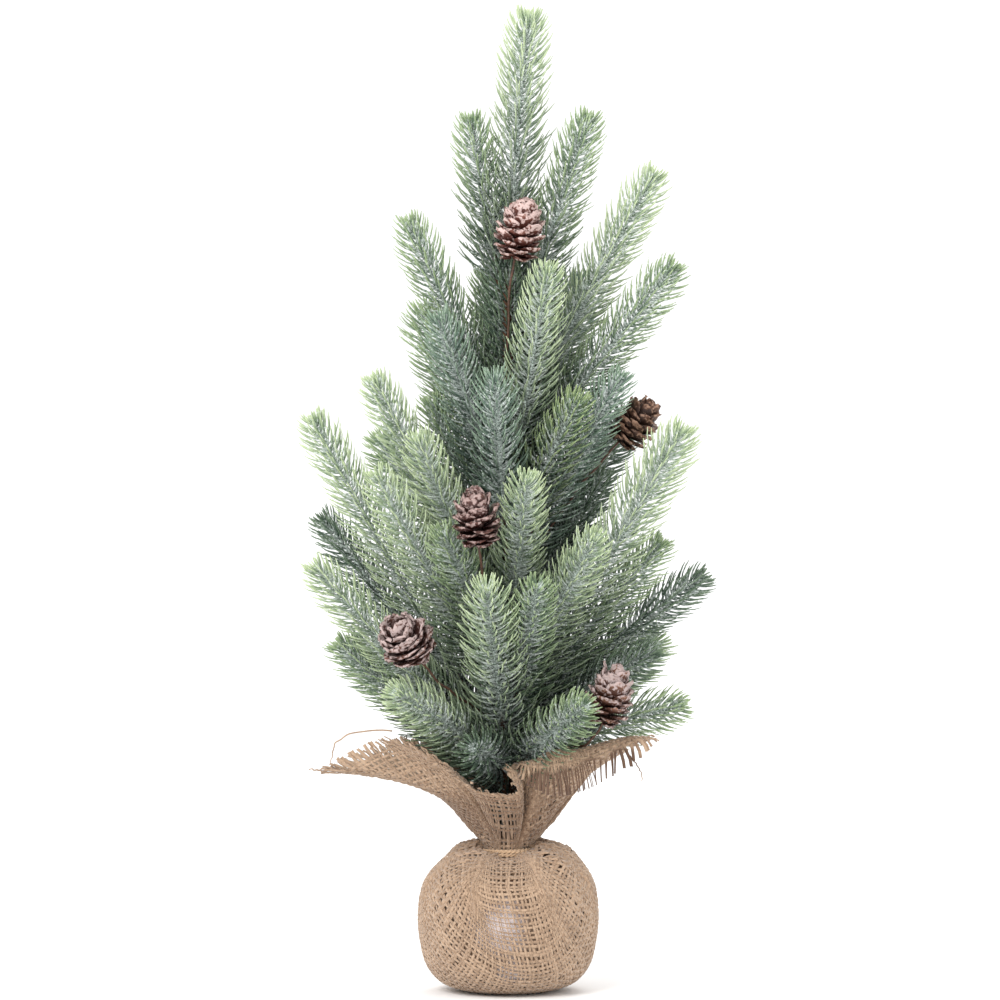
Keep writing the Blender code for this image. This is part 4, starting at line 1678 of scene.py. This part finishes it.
@dataclass
class Twine:
    """Two-ply jute twine, wound round the neck with a knot behind.

    lay is the length in which the plies twist once round each other, and span the height of the turns.
    """

    rng: np.random.Generator
    turns: int = 3
    ply_radius: float = 0.5 * MM
    lay: float = 4.6 * MM
    span: float = 3.6 * MM

    def __post_init__(self) -> None:
        """Reads the ring that the CAD keeps for the twine."""
        low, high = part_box("twine_tie")
        self.radius = (high.x - low.x) / 2
        self.middle = (low.z + high.z) / 2

    def tie(self) -> Array:
        """The tie's centre line, whose turns climb the neck."""
        share = np.linspace(0, 1, 420)
        turn = 2 * np.pi * self.turns * share + math.radians(75)
        foot = self.middle - self.span / 2
        height = foot + self.span * share + 0.4 * MM * np.sin(2 * turn / 3)
        swing = self.radius - self.ply_radius * 3 + 0.4 * MM * np.sin(turn * 1.7)
        return np.stack((swing * np.cos(turn), swing * np.sin(turn), height), axis=-1)

    def knot(self) -> Array:
        """The knot's centre line, two uneven loops on top of each other."""
        loop = 2 * np.pi * 2 * np.linspace(0, 1, 90)
        x = 2.6 * MM * np.sin(loop) + 1.2 * MM * np.sin(2.5 * loop)
        y = self.radius + 1.2 * MM * np.cos(loop * 1.5)
        z = self.middle + 1.9 * MM * np.cos(loop)
        return np.stack((x, y, z), axis=-1)

    def tail(self, side: int) -> Array:
        """A loose end's centre line, which hangs from the knot: side is -1 or 1."""
        share = np.linspace(0, 1, 60)
        x = side * (1.5 + 8 * share) * MM
        y = self.radius + (0.8 + 6 * share - 3 * share**2) * MM
        z = self.middle - (1 + 11 * share**1.5) * MM
        return np.stack((x, y, z), axis=-1)

    def plies(self, course: Array) -> Array:
        """Two plies twisted round a course: each keeps about a ply's radius from it."""
        steps = np.linalg.norm(np.diff(course, axis=0), axis=1)
        run = np.concatenate(([0.0], np.cumsum(steps)))
        ahead = unit(np.gradient(course, axis=0))
        across = unit(np.cross(ahead, np.array((0.02, 0.03, 1.0))))
        up = np.cross(across, ahead)
        angle = 2 * np.pi * run / self.lay + np.array((0, np.pi))[:, None]
        out = across * np.cos(angle)[..., None] + up * np.sin(angle)[..., None]
        return course + self.ply_radius * 0.92 * out

    def build(self) -> None:
        """Makes the tie in place of the CAD ring."""
        skins = []
        for course in (self.tie(), self.knot(), self.tail(-1), self.tail(1)):
            rings = wire_rings(self.plies(course), self.ply_radius, 6)
            run = np.linspace(0, 200, len(course))[:, None]
            chance = self.rng.uniform(0, 0.3, (2, 1, 1))
            skins.append(swept(rings, {"run": run, "chance": chance}, slimness=40.0))
        finish = YarnFinish("jute_twine", paint(200, 170, 138), paint(146, 116, 88))
        twine = piece("twine_turns", joined(skins), "base", [finish.material()])
        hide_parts("twine_tie")


# ---------------------------------------------------------------- carried-over CAD pieces, stage, camera


def dress(node: str, material: bpy.types.Material) -> None:
    """Gives a CAD node its material."""
    mesh = frame["nodes"][node].data
    mesh.materials.clear()
    mesh.materials.append(material)
    LOG.info("%s: finished as %s", node, material.name)


def dress_cad() -> None:
    """Finishes the CAD pieces that stay in view: the weight, the rod and the trunk's tape."""
    clear = tuple((*opening.ball[:3], opening.ball[3] * CLEAR_SPREAD) for opening in OPENINGS[:2])
    dress("ballast_weight", PlasterFinish(clear).material())
    steel = MetalFinish("rod_steel", paint(168, 168, 172), paint(120, 120, 124), 0.35, 1.0)
    dress("trunk_rod", steel.material())
    dress("trunk_tape", TapeFinish().material())


@dataclass
class Studio:
    """A pale floor that curves up behind the object, soft lights and the camera.

    The camera is level, at its own height and distance, and sees seen_width at the tree. The middle of
    what it sees is at middle_x and middle_z.
    """

    distance: float = 2.2
    seen_width: float = 0.509
    middle_x: float = -0.0041
    middle_z: float = 0.2494
    camera_height: float = 0.262
    aim_height: float = 0.25
    floor_half: float = 5.0
    floor_front: float = -4.0
    bend_start: float = 1.6
    bend_radius: float = 1.2
    floor_drop: float = 0.2 * MM

    def build(self) -> None:
        """Makes the stage, the lights and the camera."""
        self.sweep()
        self.lights()
        self.camera()

    def sweep(self) -> None:
        """The floor: level in front, a quarter circle behind, then a wall."""
        bend = np.linspace(0, np.pi / 2, 24)
        radius = self.bend_radius
        bent = self.bend_start + radius * np.sin(bend)
        depth = np.concatenate(([self.floor_front], bent, [self.bend_start + radius]))
        height = np.concatenate(([0.0], radius - radius * np.cos(bend), [self.floor_half]))
        sides = np.array((-self.floor_half, self.floor_half))
        x, y = np.meshgrid(sides, depth, indexing="ij")
        z = np.broadcast_to(height, x.shape)
        points = np.stack((x, y, z - self.floor_drop), axis=-1).reshape(-1, 3)
        count = len(depth)
        near = np.arange(count - 1)
        faces = np.stack((near, near + count, near + count + 1, near + 1), axis=-1)
        mesh = bpy.data.meshes.new("studio_floor")
        mesh.from_pydata(points.tolist(), [], faces.tolist())
        mesh.shade_smooth()
        recipe = Recipe("studio_paper", roughness=0.9, specular=0.1)
        mesh.materials.append(recipe.done((0.93, 0.93, 0.93)))
        floor = bpy.data.objects.new("studio_floor", mesh)
        bpy.context.scene.collection.objects.link(floor)

    def lights(self) -> None:
        """A soft key from the upper left in front, a fill from the right, and a bright even surround."""
        world = bpy.data.worlds.new("studio_air")
        world.use_nodes = True
        background = world.node_tree.nodes["Background"]
        background.inputs["Color"].default_value = (1.0, 1.0, 1.0, 1.0)
        background.inputs["Strength"].default_value = 1.0
        bpy.context.scene.world = world
        bpy.context.scene.view_settings.view_transform = "Standard"
        for name, place, size, power in (
            ("key_light", (-1.1, -1.7, 1.7), 1.3, 42.0),
            ("fill_light", (1.5, -1.3, 0.9), 1.4, 6.0),
            ("back_light", (0.4, 1.3, 1.6), 1.2, 14.0),
        ):
            light = bpy.data.lights.new(name, "AREA")
            light.shape = "SQUARE"
            light.size = size
            light.energy = power
            obj = bpy.data.objects.new(name, light)
            obj.location = place
            aim = UP * self.aim_height - np.array(place)
            obj.rotation_mode = "QUATERNION"
            obj.rotation_quaternion = Vector(aim).to_track_quat("-Z", "Y")
            bpy.context.scene.collection.objects.link(obj)

    def camera(self) -> None:
        """A level camera in front of the tree, with a small shift to frame it."""
        data = bpy.data.cameras.new("camera")
        data.sensor_width = 36.0
        data.lens = data.sensor_width * self.distance / self.seen_width
        data.shift_y = (self.middle_z - self.camera_height) / self.seen_width
        data.clip_end = 50.0
        obj = bpy.data.objects.new("camera", data)
        obj.location = (self.middle_x, -self.distance, self.camera_height)
        obj.rotation_euler = (math.pi / 2, 0.0, 0.0)
        bpy.context.scene.collection.objects.link(obj)
        bpy.context.scene.camera = obj


def main() -> None:
    """Builds the tree's pieces in order, then the studio."""
    logging.basicConfig(level=logging.INFO, format="%(name)s %(message)s", stream=sys.stdout)
    seeds = np.random.SeedSequence(20).spawn(4)
    foliage_rng, cone_rng, burlap_rng, twine_rng = (np.random.default_rng(seed) for seed in seeds)
    Foliage(foliage_rng).build()
    Cones(cone_rng).build()
    Burlap(burlap_rng).build()
    Twine(twine_rng).build()
    dress_cad()
    Studio().build()


if __name__ == "__main__":
    main()
